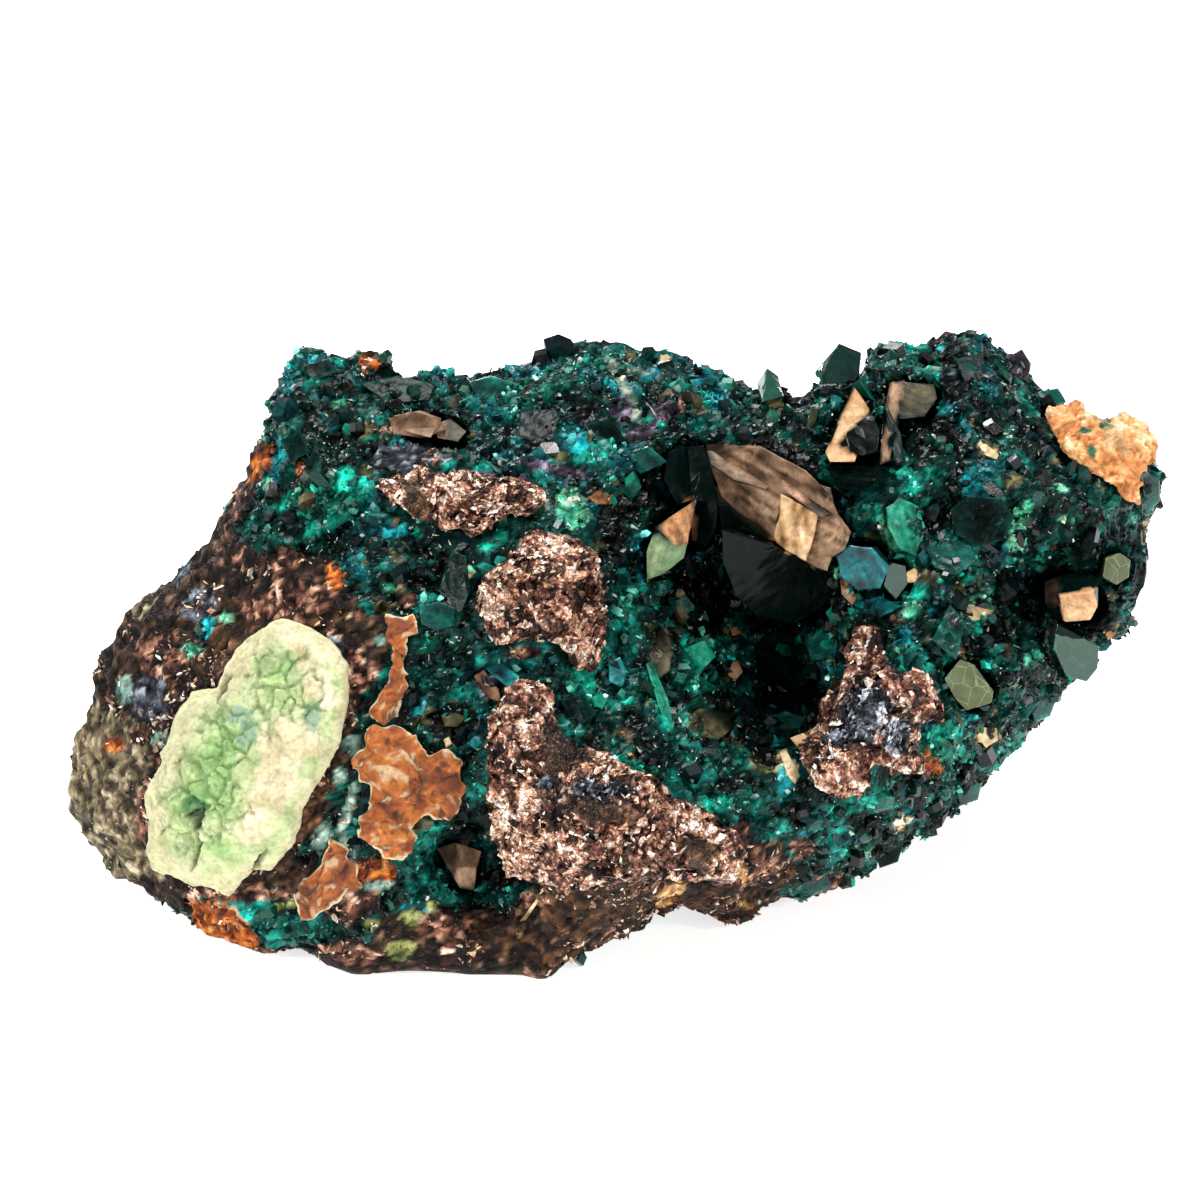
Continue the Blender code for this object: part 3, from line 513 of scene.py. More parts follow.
def rock_material(name="rock", gloss=0.5):
    mat, tree, shader, _ = new_material(name)
    shader.inputs["Specular IOR Level"].default_value = gloss
    tint = attribute(tree)
    cloud = noise_node(tree, 0.9, 5.0, 0.65)
    grain = voronoi_node(tree, 0.22)
    shade = ramp(tree, [(0.3, 0.45), (0.5, 0.95), (0.72, 1.7)], cloud)
    colour = mix(tree, tint, shade, 1.0, "MULTIPLY")
    tree.links.new(colour, shader.inputs["Base Color"])
    rough = ramp(tree, [(0.3, 0.75), (0.7, 0.4)], cloud)
    tree.links.new(rough, shader.inputs["Roughness"])
    height = math_node(tree, "ADD", math_node(tree, "MULTIPLY", cloud, 1.0), math_node(tree, "MULTIPLY", grain, 0.7))
    bump(tree, shader, height, 0.12, 0.8)
    return mat


# ------------------------------------------------------------------ stage: camera, floor, lights
def make_stage():
    scene = bpy.context.scene
    camera = bpy.data.cameras.new("camera")
    camera.sensor_width = 36
    camera.lens = 36 * DISTANCE / (1200 * SQUARE)
    camera.clip_start = 0.02
    camera.clip_end = 20
    eye = bpy.data.objects.new("camera", camera)
    scene.collection.objects.link(eye)
    eye.location = EYE
    eye.rotation_euler = (math.pi / 2 - TILT, 0, 0)
    scene.camera = eye

    floor_mesh = bpy.data.meshes.new("floor")
    floor_mesh.from_pydata([(-4, -4, 0), (4, -4, 0), (4, 4, 0), (-4, 4, 0)], [], [(0, 1, 2, 3)])
    floor = bpy.data.objects.new("floor", floor_mesh)
    scene.collection.objects.link(floor)
    mat, tree, shader, _ = new_material("floor")
    shader.inputs["Base Color"].default_value = (0.86, 0.86, 0.87, 1)
    shader.inputs["Roughness"].default_value = 0.85
    shader.inputs["Emission Color"].default_value = (1, 1, 1, 1)
    shader.inputs["Emission Strength"].default_value = 0.72
    speck = noise_node(tree, 30.0, 2.0)
    tree.links.new(ramp(tree, [(0.3, 0.84), (0.7, 0.88)], speck), shader.inputs["Base Color"])
    floor_mesh.materials.append(mat)

    world = bpy.data.worlds.new("world")
    scene.world = world
    world.use_nodes = True
    back = world.node_tree.nodes["Background"]
    back.inputs["Color"].default_value = (0.93, 0.97, 1.0, 1)
    back.inputs["Strength"].default_value = 0.22

    def area(name, where, size, power, colour=(1, 1, 1), aim=(0, 0, 0.02)):
        light = bpy.data.lights.new(name, "AREA")
        light.shape = "RECTANGLE"
        light.size, light.size_y = size
        light.energy = power
        light.color = colour
        lamp = bpy.data.objects.new(name, light)
        scene.collection.objects.link(lamp)
        lamp.location = where
        lamp.rotation_euler = (Vector(aim) - Vector(where)).to_track_quat("-Z", "Y").to_euler()

    area("key", (0.10, 0.28, 0.85), (0.42, 0.32), 10.0)
    area("left", (-0.72, -0.42, 0.42), (0.16, 0.16), 4.6, (1.0, 0.98, 0.95))
    area("right", (0.75, -0.40, 0.40), (0.12, 0.14), 3.0, (1.0, 0.97, 0.94))
    area("behind", (-0.30, 0.80, 0.35), (0.2, 0.15), 3.0, (0.95, 0.98, 1.0))
    area("spark_one", (-0.20, -0.55, 0.70), (0.05, 0.05), 0.55)
    area("spark_two", (0.35, -0.60, 0.45), (0.05, 0.05), 0.55, (1.0, 0.93, 0.86))
    area("spark_three", (0.05, -0.70, 0.28), (0.05, 0.05), 0.5, (1.0, 0.9, 0.82))

    scene.view_settings.view_transform = "Standard"
    scene.view_settings.look = "None"
    scene.view_settings.exposure = 0.0
    scene.view_settings.gamma = 1.0


make_stage()

# ------------------------------------------------------------------ outlines and patches of the face, in grid squares
GOSSAN = [
    (40, 820), (60, 700), (90, 600), (150, 545), (200, 505), (235, 465), (262, 440), (256, 490), (236, 535),
    (262, 556), (296, 552), (325, 560), (352, 590), (372, 620), (392, 618), (385, 660), (362, 690), (352, 730),
    (350, 770), (332, 800), (318, 830), (300, 850), (296, 880), (255, 903), (200, 900), (150, 900), (90, 890),
]
FOOT = [
    (180, 898), (240, 912), (246, 948), (300, 952), (345, 950), (372, 930), (392, 912), (430, 912), (470, 912),
    (514, 916), (548, 876), (600, 868), (655, 866), (690, 850), (722, 838), (752, 838), (795, 850), (792, 880),
    (778, 905), (760, 950), (700, 950), (640, 960), (560, 1000), (400, 1000), (320, 1000), (230, 960),
]
# palette: patches as (u, v, half width, half height, turn)
PATCHES = {
    "blue": [
        (281, 380, 15, 25, 0), (317, 358, 11, 5, 0), (333, 423, 6, 7, 0), (441, 376, 20, 10, 30), (473, 378, 12, 7, 0),
        (585, 371, 14, 6, 0), (578, 438, 22, 14, 20), (630, 460, 24, 16, -30), (676, 448, 15, 5, 35), (718, 394, 13, 19, -15),
        (689, 430, 7, 5, 0), (985, 368, 14, 32, -10), (997, 345, 13, 10, 0), (980, 480, 22, 29, 0), (846, 552, 16, 9, 0),
        (874, 605, 24, 9, 0), (862, 434, 13, 7, 0), (650, 372, 12, 8, 0), (535, 366, 30, 6, -12), (206, 627, 9, 14, 20),
        (1060, 712, 16, 8, 30), (1075, 560, 8, 8, 0), (905, 640, 12, 20, 30), (940, 600, 8, 22, 30),
    ],
    "teal": [
        (370, 369, 16, 4, 15), (422, 406, 24, 4, -5), (469, 400, 7, 4, 0), (430, 605, 20, 17, 10), (508, 672, 26, 12, 30),
        (440, 682, 34, 20, 15), (473, 738, 14, 9, 0), (474, 782, 14, 20, 0), (572, 728, 19, 20, 0), (620, 640, 26, 36, 0),
        (616, 670, 14, 18, -20), (700, 768, 26, 26, 0), (822, 645, 20, 14, 20), (838, 682, 18, 9, 0), (906, 655, 26, 26, 0),
        (895, 348, 20, 11, 0), (1022, 402, 15, 11, 0), (935, 410, 7, 7, 0), (412, 553, 4, 12, 0), (269, 536, 12, 8, 0),
        (741, 431, 9, 5, 20), (446, 526, 5, 10, -10), (830, 840, 20, 15, 20), (775, 830, 24, 12, -10), (860, 800, 18, 8, -30),
        (940, 797, 22, 9, -35), (300, 929, 50, 16, 0), (425, 870, 30, 34, 0), (797, 890, 18, 8, 0), (868, 866, 14, 8, -30),
        (1140, 500, 18, 24, 0), (1048, 600, 8, 30, 0), (1020, 735, 20, 7, -30), (502, 890, 26, 16, 0), (1000, 660, 20, 16, 0),
        (745, 655, 16, 14, 0), (860, 372, 26, 8, 0), (1128, 600, 6, 20, 0),
    ],
    "emer": [
        (325, 503, 40, 30, -20), (296, 503, 18, 12, -20), (339, 477, 20, 10, -25), (312, 518, 20, 10, 0), (415, 536, 9, 6, 0),
        (622, 592, 25, 9, -10), (427, 645, 12, 8, -20), (659, 698, 9, 40, -22), (692, 652, 18, 14, 35), (698, 684, 22, 12, 0),
        (600, 700, 8, 8, 0), (730, 648, 15, 12, 0), (946, 744, 24, 22, 0), (718, 803, 22, 9, 0), (843, 808, 22, 9, -35),
        (906, 560, 24, 22, 0), (905, 590, 22, 14, 0), (786, 381, 4, 5, 0), (804, 380, 8, 8, 0), (818, 376, 6, 5, 0),
        (735, 800, 14, 12, 0), (640, 769, 26, 8, 20), (590, 680, 6, 20, 0), (1010, 760, 26, 8, -40),
    ],
    "mint": [
        (335, 402, 12, 5, 20), (268, 485, 9, 7, 0), (392, 587, 13, 5, 0), (893, 530, 18, 24, -20), (905, 548, 18, 8, 0),
        (1021, 520, 9, 22, 22), (1018, 545, 12, 8, 20), (969, 600, 28, 8, 15), (912, 610, 9, 11, -30), (572, 508, 15, 24, -15),
        (831, 572, 8, 9, 0), (1058, 488, 26, 5, 20), (1070, 520, 16, 10, 0), (192, 650, 12, 6, 0), (228, 618, 9, 5, 0),
        (465, 720, 8, 4, 0), (1040, 662, 20, 14, 0), (706, 642, 10, 6, 50), (865, 852, 12, 10, -50), (955, 745, 8, 4, 0),
    ],
    "speck": [
        (325, 445, 42, 14, 0), (300, 415, 24, 30, 0), (440, 545, 46, 18, 0), (466, 642, 25, 20, 0), (925, 445, 32, 22, 0),
        (1060, 500, 34, 24, 0), (1070, 530, 30, 18, 0), (975, 520, 30, 20, 20), (950, 552, 26, 14, 25), (560, 660, 30, 8, 0),
        (1050, 665, 34, 20, 0), (505, 560, 40, 14, 0), (778, 375, 10, 8, 0), (890, 840, 30, 16, -30), (640, 520, 30, 16, -10),
    ],
    "black": [
        (790, 590, 60, 50, 0), (700, 600, 40, 40, 0), (690, 520, 20, 40, 0), (790, 700, 44, 30, 0), (860, 438, 10, 20, 0),
        (1050, 596, 60, 32, 0), (935, 517, 14, 20, 0), (444, 570, 14, 40, 10), (455, 722, 34, 20, 0), (1000, 630, 20, 16, 0),
        (955, 370, 20, 34, 0), (940, 430, 24, 16, 30), (770, 445, 60, 12, 30), (505, 880, 24, 16, 0), (600, 714, 8, 7, 0),
        (534, 430, 20, 20, 0), (844, 650, 11, 18, 20), (900, 440, 10, 24, 0), (640, 500, 44, 14, -20), (612, 858, 9, 10, 0),
        (430, 775, 10, 10, 0), (560, 545, 10, 10, 0), (1095, 610, 14, 30, 0), (545, 700, 14, 20, 0),
    ],
    "glass": [
        (860, 480, 44, 15, 0), (880, 486, 26, 20, 0), (455, 385, 40, 16, 12), (490, 442, 20, 13, 0), (820, 372, 24, 16, 0),
        (620, 430, 12, 8, 0), (790, 660, 34, 26, 0), (1148, 492, 20, 24, 0), (1120, 540, 20, 34, 0), (1052, 395, 20, 12, 30),
        (865, 566, 26, 22, 0), (435, 610, 20, 18, 0), (1090, 560, 18, 10, 0), (700, 730, 10, 6, 0), (786, 722, 20, 10, 0),
        (640, 345, 60, 8, 8), (690, 470, 40, 10, 0), (1045, 700, 30, 20, 0),
    ],
    "olive": [
        (630, 357, 8, 7, 0), (368, 427, 8, 12, 20), (661, 652, 13, 28, 10), (707, 725, 24, 16, 20), (765, 764, 20, 12, 20),
        (1014, 480, 12, 9, 0), (917, 400, 18, 16, 0), (925, 575, 20, 8, 30), (760, 470, 50, 18, 30), (1006, 655, 8, 14, 20),
        (752, 508, 36, 26, 0), (870, 540, 8, 8, 0), (700, 410, 8, 6, 0),
    ],
    "cream": [
        (328, 385, 5, 4, 0), (987, 450, 12, 6, 35), (625, 735, 12, 6, 20), (774, 405, 9, 4, -5), (1145, 530, 4, 13, -10),
        (664, 358, 7, 3, 5), (985, 737, 12, 12, -40), (789, 765, 6, 16, -35), (900, 825, 7, 12, 15), (912, 577, 7, 7, 0),
        (978, 612, 15, 6, 10), (960, 655, 12, 4, 40), (600, 497, 10, 6, -10), (400, 586, 5, 4, 0), (345, 614, 7, 5, 0),
    ],
    "vein": [
        (612, 366, 5, 14, -40), (622, 385, 5, 22, -30), (645, 372, 22, 4, 10), (634, 410, 4, 20, -10),
    ],
    "purple": [
        (643, 430, 20, 10, -10), (620, 412, 12, 16, 0), (1020, 365, 14, 20, -30), (487, 686, 10, 19, -35), (560, 470, 50, 7, 12),
        (496, 477, 40, 6, 8), (665, 412, 18, 12, 0),
    ],
    "copper": [
        (390, 431, 14, 8, 10), (410, 600, 9, 8, 0), (286, 560, 15, 13, 0), (526, 652, 18, 8, 0), (681, 406, 5, 10, 0),
        (594, 757, 17, 9, 0), (805, 848, 16, 12, -20), (741, 828, 10, 5, 0), (1109, 634, 5, 4, 0), (770, 868, 20, 14, 0),
        (825, 884, 20, 9, -15), (895, 620, 6, 6, 0), (300, 597, 44, 18, 10), (160, 655, 22, 26, -20), (262, 610, 24, 12, 0),
        (355, 665, 10, 16, 0), (150, 810, 18, 40, 0), (350, 955, 40, 12, 15), (296, 620, 30, 8, 0), (240, 895, 60, 8, 0),
        (455, 930, 50, 14, 5), (535, 900, 20, 10, 0), (730, 870, 12, 34, -15), (350, 900, 30, 24, -10),
    ],
    "rust": [
        (334, 576, 9, 15, -20), (261, 463, 9, 26, 20), (225, 928, 42, 20, 32), (368, 362, 12, 12, 0), (931, 763, 11, 13, 0),
        (205, 912, 20, 10, 30), (372, 870, 26, 16, 0), (110, 745, 20, 14, 0), (300, 470, 4, 8, 0),
    ],
    "grey": [
        (100, 800, 50, 90, 10), (95, 740, 32, 40, 0), (140, 860, 40, 24, 0), (146, 600, 12, 26, 35), (400, 588, 6, 6, 0),
    ],
    # blue-grey patches: a painted glint, the blue-grey sheen put in as colour
    "steel": [
        (411, 458, 42, 17, 5), (200, 605, 20, 18, 0), (150, 700, 26, 26, 20), (176, 570, 16, 16, 0), (330, 650, 16, 16, 0),
    ],
    "pale": [
        (322, 836, 8, 24, 18), (350, 805, 6, 30, 18), (347, 848, 8, 26, -22), (372, 886, 26, 6, -10), (352, 745, 10, 12, 0),
        (380, 640, 8, 6, 0), (340, 775, 8, 10, 0), (372, 812, 4, 8, 0), (160, 740, 10, 10, 0), (125, 690, 10, 16, 0),
    ],
    "lime": [(411, 918, 14, 9, 10), (402, 950, 16, 11, -10), (432, 905, 6, 6, 0), (300, 905, 30, 3, 0), (372, 925, 10, 6, 0)],
    "umber": [
        (724, 906, 40, 24, 10), (600, 900, 74, 26, -8), (700, 856, 24, 28, 0), (640, 885, 50, 16, 0), (560, 950, 30, 24, 0),
        (240, 650, 34, 24, 0), (782, 876, 14, 14, 0), (500, 940, 60, 20, 0), (400, 975, 60, 12, 0), (300, 880, 20, 20, 0),
    ],
    "gold": [(668, 893, 20, 13, -35), (738, 862, 7, 28, -10), (590, 860, 8, 6, 0), (636, 862, 12, 7, 0), (745, 905, 12, 5, 20)],
}
PALETTES = {
    "blue": palette("#03161a", "#063c44", "#0a666c", "#14989c", "#6fd6d2"),
    "teal": palette("#021a18", "#07403a", "#0c685e", "#179480", "#6cd0b8"),
    "emer": palette("#021f1a", "#055044", "#08806c", "#1ab498", "#80e4c8"),
    "mint": palette("#06352b", "#1d7a62", "#52b890", "#9fdcb4", "#e4eece"),
    "speck": palette("#020706", "#05110f", "#082420", "#0d3d36", "#1f6257", "#a8c8b4"),
    "black": palette("#010202", "#020505", "#030a09", "#061513", "#0c2b28"),
    "glass": palette("#031412", "#06302d", "#0a4742", "#0e5a54", "#1c7a70"),
    "olive": palette("#12140d", "#2c2d20", "#57543a", "#8c845c", "#d0c69c"),
    "cream": palette("#6a5a40", "#c0a478", "#ecd2a6", "#f8ecd4"),
    "vein": palette("#2c3d38", "#66756a", "#a0aa98", "#d8dcc8"),
    "purple": palette("#131016", "#292330", "#4a4150", "#857a90", "#cfc6d6"),
    "copper": palette("#120907", "#34201a", "#74493a", "#c8947a", "#ffe2cc"),
    "rust": palette("#3a1408", "#7a3412", "#b85e20", "#de8238", "#f2b070"),
    "grey": palette("#2c261e", "#5a4e3c", "#84765a", "#aa9c7c", "#d4cab0"),
    "steel": palette("#0b0c0f", "#1c1f26", "#3a3f4a", "#7a828e", "#dde2ea"),
    "pale": palette("#3f6a60", "#7a9c90", "#a4c0b2", "#c8dccd"),
    "lime": palette("#39421e", "#727c40", "#a6a866", "#dcd8a4"),
    "umber": palette("#140c09", "#2c1c14", "#46301f", "#64452f", "#96704f"),
    "gold": palette("#6a4420", "#c08a50", "#f0c48a", "#fff0cc"),
    "brown": palette("#080505", "#160f0c", "#2a1d16", "#4c3626", "#94705a"),
}
KEYS = list(PALETTES)
PATCH_ROWS = [(KEYS.index(key), spec) for key, specs in PATCHES.items() for spec in specs]


def patches_at(p, seed=0):
    """(palette number, strength 0..1) of the patch each point lies in; the last palette stands for gossan, -1 for none."""
    u, v, _ = to_grid(p)
    shift = fbm(p, 1.6, 3, 60) * 0.75
    best = np.full(len(p), -9.0)
    kind = np.full(len(p), -1)
    for number, (cu, cv, ru, rv, turn) in PATCH_ROWS:
        c, s = math.cos(math.radians(turn)), math.sin(math.radians(turn))
        du, dv = u - cu, v - cv
        g = 1 - np.hypot((du * c + dv * s) / ru, (-du * s + dv * c) / rv)
        better = g > best
        best[better] = g[better]
        kind[better] = number
    strength = smooth(best + shift * 0.55, 0.0, 0.22)
    kind[strength <= 0] = -1
    return kind, strength


def ground_at(p, front):
    """(palette number) away from the patches: gossan on its side, otherwise a changing mix of greens."""
    u, v, _ = to_grid(p)
    wobble = fbm(p, 3.0, 3, 5) * 16
    brown = np.maximum(loop_distance(u + wobble, v + wobble * 0.7, GOSSAN), loop_distance(u + wobble, v + wobble * 0.7, FOOT)) > 0
    behind = fbm(p, 13.0, 2, 40)
    brown = np.where(front, brown, behind > -0.16)
    n = fbm(p, 2.0, 3, 71)
    m = fbm(p, 3.1, 3, 72)
    green = np.where(n > 0.20, KEYS.index("teal"), KEYS.index("speck"))
    green = np.where(m > 0.30, KEYS.index("emer"), green)
    green = np.where(m < -0.34, KEYS.index("blue"), green)
    green = np.where((n > 0.02) & (n < 0.10), KEYS.index("glass"), green)
    green = np.where((n < -0.30) & (m < 0.0), KEYS.index("black"), green)
    rare = fbm(p, 1.3, 2, 73)
    green = np.where(rare > 0.52, KEYS.index("olive"), green)
    stone = np.where(m > 0.28, KEYS.index("umber"), KEYS.index("brown"))
    stone = np.where(n > 0.36, KEYS.index("copper"), stone)
    stone = np.where((rare > 0.60) & ~front, KEYS.index("rust"), stone)
    return np.where(brown, stone, green)


def colour_at(p, front, tone, seed=0):
    """(colour, palette number) at points; tone 0..1 runs from the dark to the light end of each palette."""
    kind, strength = patches_at(p, seed)
    base = ground_at(p, front)
    kind = np.where(front, kind, -1)
    take = (kind >= 0) & (strength > 0.5)
    number = np.where(take, kind, base)
    colour = np.zeros((len(p), 3))
    for k in np.unique(number):
        here = number == k
        colour[here] = pick(PALETTES[KEYS[k]], tone[here])
    return colour, number


# ------------------------------------------------------------------ the rock's skin
others_v, others_f, base = [], [], 0
for key, obj in NODES.items():
    if key != "gossan_rock":
        v_, f_ = arrays_of(obj)
        others_v.append(v_)
        others_f.append(f_ + base)
        base += len(v_)
OTHERS = BVHTree.FromPolygons(np.concatenate(others_v).tolist(), np.concatenate(others_f).tolist())


def clearance(points, limit_mm=2.0):
    """Distance to the nearest crust or large crystal, negative inside it, in metres."""
    out = np.full(len(points), limit_mm * MM)
    for i, p in enumerate(points):
        where, n, _, d = OTHERS.find_nearest(p, limit_mm * MM)
        if where is not None:
            out[i] = -d if (Vector(p) - where).dot(n) < 0 else d
    return out


verts, quads = remeshed(NODES["gossan_rock"], 0.64, "rock_skin")
verts = relax(verts, quads, 3)
tris = np.concatenate([quads[:, [0, 1, 2]], quads[:, [0, 2, 3]]])
normal = normals_of(verts, tris)
front_v = -(normal @ INTO) > -0.12
buried = clearance(verts) < -0.0005
fine = front_v[tris].all(axis=1) & (verts[tris].mean(1)[:, 2] > 0.0004) & ~buried[tris].all(axis=1)
verts, tris = refine(verts, tris, fine)
normal = normals_of(verts, tris)
facing = -(normal @ INTO)
front_v = facing > -0.12
gap = clearance(verts)
free = smooth(gap, 0.0003, 0.0009)

kind, strength = patches_at(verts)
ground = ground_at(verts, front_v)
number = np.where((kind >= 0) & (strength > 0.5) & front_v, kind, ground)
green_v = np.isin(number, [KEYS.index(k) for k in ("blue", "teal", "emer", "mint", "speck", "black", "glass", "olive", "cream", "vein", "purple")])
calm_v = np.isin(number, [KEYS.index(k) for k in ("glass", "black", "umber")])
broad = fbm(verts, 3.4, 2, 1) * 0.30
big, own_big, wall_big = facets(verts, 2.1, 300)
mid, own_mid, wall_mid = facets(verts, 1.05, 330)
small = cube_relief(verts, 0.62, 360)
grit = fbm(verts, 0.55, 2, 8)
crystal = 0.62 * big + 0.34 * mid + np.where(calm_v, 0.05, 0.16) * (small - 0.3) - 0.12 * (1 - smooth(wall_big, 0.0, 0.10))
stony = 0.50 * cube_relief(verts, 1.3, 370) + 0.26 * small + 0.16 * grit + 0.22 * mid - 0.24
height = broad + np.where(green_v, crystal, stony)
level = smooth(verts[:, 2], 0.0002, 0.0018)
lift = (height - 0.10) * level * MM
lift = np.where(free > 0, lift * free, 0) - 0.00012 * (1 - free)
verts = verts + normal * lift[:, None]
verts[:, 2] = np.maximum(verts[:, 2], 0.0)


def crystal_tone_and_wall_shade(p):
    """How light each crystal of the druse is, the same over one crystal: most are dark, a few are bright; painted shade
    darkens it near the walls between crystals.
    """
    _, own, wall = facets(p, 2.1, 300)
    _, own_, wall_ = facets(p, 1.05, 330)
    light = 0.62 * own[:, 1] + 0.38 * own_[:, 1]
    return 0.82 * np.exp((light - 0.52) * 3.6) * (0.45 + 0.55 * smooth(wall, 0.0, 0.12)) * (0.65 + 0.35 * smooth(wall_, 0.0, 0.12)), own[:, 2]


druse_tone_and_wall_shade, _ = crystal_tone_and_wall_shade(verts)
# tone rises on the raised relief (small, mid) and drops in its hollows, a painted shade, on top of random tone
tone = 0.40 + 0.40 * fbm(verts, 0.7, 3, 9) + 0.35 * (small - 0.35) + 0.25 * mid
speck_own, _, _ = cells(verts, 0.55, 380)
tone = np.where(green_v, tone, tone + 0.75 * (speck_own[:, 1] - 0.58))
skin_colour, _ = colour_at(verts, front_v, np.clip(tone, 0, 1))
# druse: its tone with painted shade at the crystal walls; stone: darker in the hollows of its relief, a painted shade
skin_colour *= np.where(green_v, 0.85 * druse_tone_and_wall_shade, 0.55 + 0.5 * smooth(small, 0.0, 0.55))[:, None]
skin = object_from("rock_skin", verts, tris, colours=np.clip(skin_colour, 0, 1))
skin.data.materials.append(rock_material("rock", 0.14))
skin.data.materials.append(druse_material("druse_skin", 0.0, 0.15, 1.4))
skin.data.polygons.foreach_set("material_index", np.where(green_v[tris].mean(1) > 0.5, 1, 0).astype(np.int32))
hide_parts("gossan_rock")
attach(skin, "root")
print("skin triangles", len(tris))
skin_normal = normals_of(verts, tris)

# ------------------------------------------------------------------ scattered crystals, chips and flakes
PRISM = prism_template()
STUB = prism_template(taper=0.86)
CHUNKS = [chunk_template(s, 9, 0.9) for s in range(6)]
CHIPS = [chunk_template(20 + s, 7, 0.75) for s in range(6)]
FLAKES = [chunk_template(40 + s, 6, 0.16) for s in range(6)]
front_t = front_v[tris].mean(1) > 0.5
tri_number = number[tris[:, 0]]
tri_level = verts[tris].mean(1)[:, 2]


def has(numbers, *keys):
    return np.isin(numbers, [KEYS.index(k) for k in keys])


GREENS = ("blue", "teal", "emer", "mint", "speck", "black", "glass", "olive", "cream", "vein", "purple")
STONES = ("copper", "rust", "grey", "steel", "umber", "gold", "brown", "lime", "pale")


def scatter(name, weight, count, apart, size, long, seed, mat, templates, sink=0.4, spread=0.3, follow=0.55,
            shade=(0.45, 1.2), facet=0.35, tone_mean=0.45, tone_spread=0.28, clear=0.35, size_spread=0.28, surface=None,
            thick=(0.75, 1.1), tall=None, lie=False, boost=1.0, tone_top=1.0, colour_fn=None, grain_mm=3.0, by_crystal=0.0):
    """Grows one joined piece: crystals stand on the surface; with lie=True shards lie along it, side by side."""
    rng = np.random.default_rng(seed)
    sv, st, sn, sf = surface or (verts, tris, skin_normal, front_t)
    p, tri = sample(sv, st, weight, count, apart, rng)
    n = sn[st[tri, 0]]
    is_front = sf[tri]
    s = rng.lognormal(math.log(size), size_spread, len(p)) * MM
    if surface is None:
        keep = clearance(p) > clear * s
        p, n, is_front, s = p[keep], n[keep], is_front[keep], s[keep]
    field = np.stack([fbm(p, 4.0, 2, 200 + k) for k in range(3)], axis=1) * 1.6
    if by_crystal:
        tone_and_wall_shade_here, _ = crystal_tone_and_wall_shade(p)
        own_, _, _ = cells(p, 1.05, 330)
        field = unit(own_[:, :3] * 2 - 1) * 1.2
        # the scattered crystals take the druse tone, with its painted shade at the crystal walls
        boost = boost * (tone_and_wall_shade_here**by_crystal)[:, None]
    axis = unit(n + field * follow + rng.normal(size=n.shape) * spread)
    turn = fbm(p, grain_mm, 2, 210) * 7 + rng.normal(size=len(p)) * (0.5 if lie else 0.35)
    turns = frames(axis, turn)
    l = s * rng.uniform(long[0], long[1], len(p))
    t = s * rng.uniform(thick[0], thick[1], len(p))
    h = t * rng.uniform(0.8, 1.3, len(p)) if tall is None else s * rng.uniform(tall[0], tall[1], len(p))
    scales = np.stack([l, t, h], axis=1) if lie else np.stack([s * rng.uniform(0.85, 1.2, len(p)), t, l], axis=1)
    p0 = p - n * (scales[:, 2] * sink)[:, None]
    tone = np.clip(tone_mean + fbm(p, 0.9, 2, 31) * 0.35 + rng.normal(size=len(p)) * tone_spread, 0, tone_top)
    colours = colour_fn(p, is_front, tone) if colour_fn else colour_at(p, is_front, tone)[0]
    made = stamp(name, templates, rng.integers(0, len(templates), len(p)), p0, turns, scales, colours * boost, rng, shade, facet)
    made.data.materials.append(mat)
    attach(made, "root")
    print(name, len(p), "pieces", len(made.data.polygons), "faces")
    return made


def deep_colour(p, f, tone):
    """Dark glassy greens for the larger crystals, with a lighter one here and there."""
    m = fbm(p, 2.4, 2, 75) + RNG.normal(size=len(p)) * 0.2
    out = pick(palette("#020807", "#04161a", "#06262a", "#0a3f3c", "#0f5a50"), tone)
    out = np.where((m > 0.12)[:, None], pick(palette("#021410", "#06352b", "#0a5a48", "#12806a"), tone), out)
    return np.where((m > 0.42)[:, None], pick(palette("#10140e", "#2a2c20", "#4a4834", "#6a6248"), tone), out)


druse = druse_material()
dark_glass = druse_material("dark_glass", 0.2, 0.12)
green_t = has(tri_number, *GREENS)
stone_t = has(tri_number, *STONES)
dark_t = has(tri_number, "black", "glass")
bright_t = has(tri_number, "blue", "teal", "emer", "mint", "vein", "cream")
up = front_t & (tri_level > 0.0006)
middle_t = verts[tris].mean(1)
_, own_t, _ = facets(middle_t, 2.1, 300)
_, own_u, _ = facets(middle_t, 1.05, 330)
crusted = smooth(0.6 * own_t[:, 0] + 0.4 * own_u[:, 0], 0.30, 0.62)
SHARDS = [chunk_template(60 + s, 7, 1.0) for s in range(8)]
left_t = middle_t[:, 0] < 0.004
for side, part in (("left", left_t), ("right", ~left_t)):
    scatter("druse_shards_" + side, up * green_t * np.where(dark_t, 0.35, 1.0) * part * (0.12 + crusted), 6600, 0.27, 0.40, (1.5, 2.9), 101 + part[0], druse,
            SHARDS, sink=0.25, spread=0.28, follow=0.8, thick=(0.4, 0.85), lie=True, tone_mean=0.42, tone_spread=0.25, facet=0.5, grain_mm=2.2, shade=(0.5, 1.15), by_crystal=0.75)
scatter("druse_tips", up * bright_t * (0.1 + crusted), 3400, 0.36, 0.44, (0.7, 1.4), 103, druse, [PRISM, STUB] + CHUNKS[:2], sink=0.45, tone_mean=0.55, facet=0.45, by_crystal=0.75)
scatter("druse_middle", up * green_t * np.where(dark_t, 1.3, 0.8), 2300, 0.62, 1.0, (0.9, 1.7), 104, dark_glass, CHUNKS + [PRISM], sink=0.40,
        spread=0.3, thick=(0.6, 1.0), lie=True, tone_mean=0.45, facet=0.45, colour_fn=deep_colour, by_crystal=0.5)
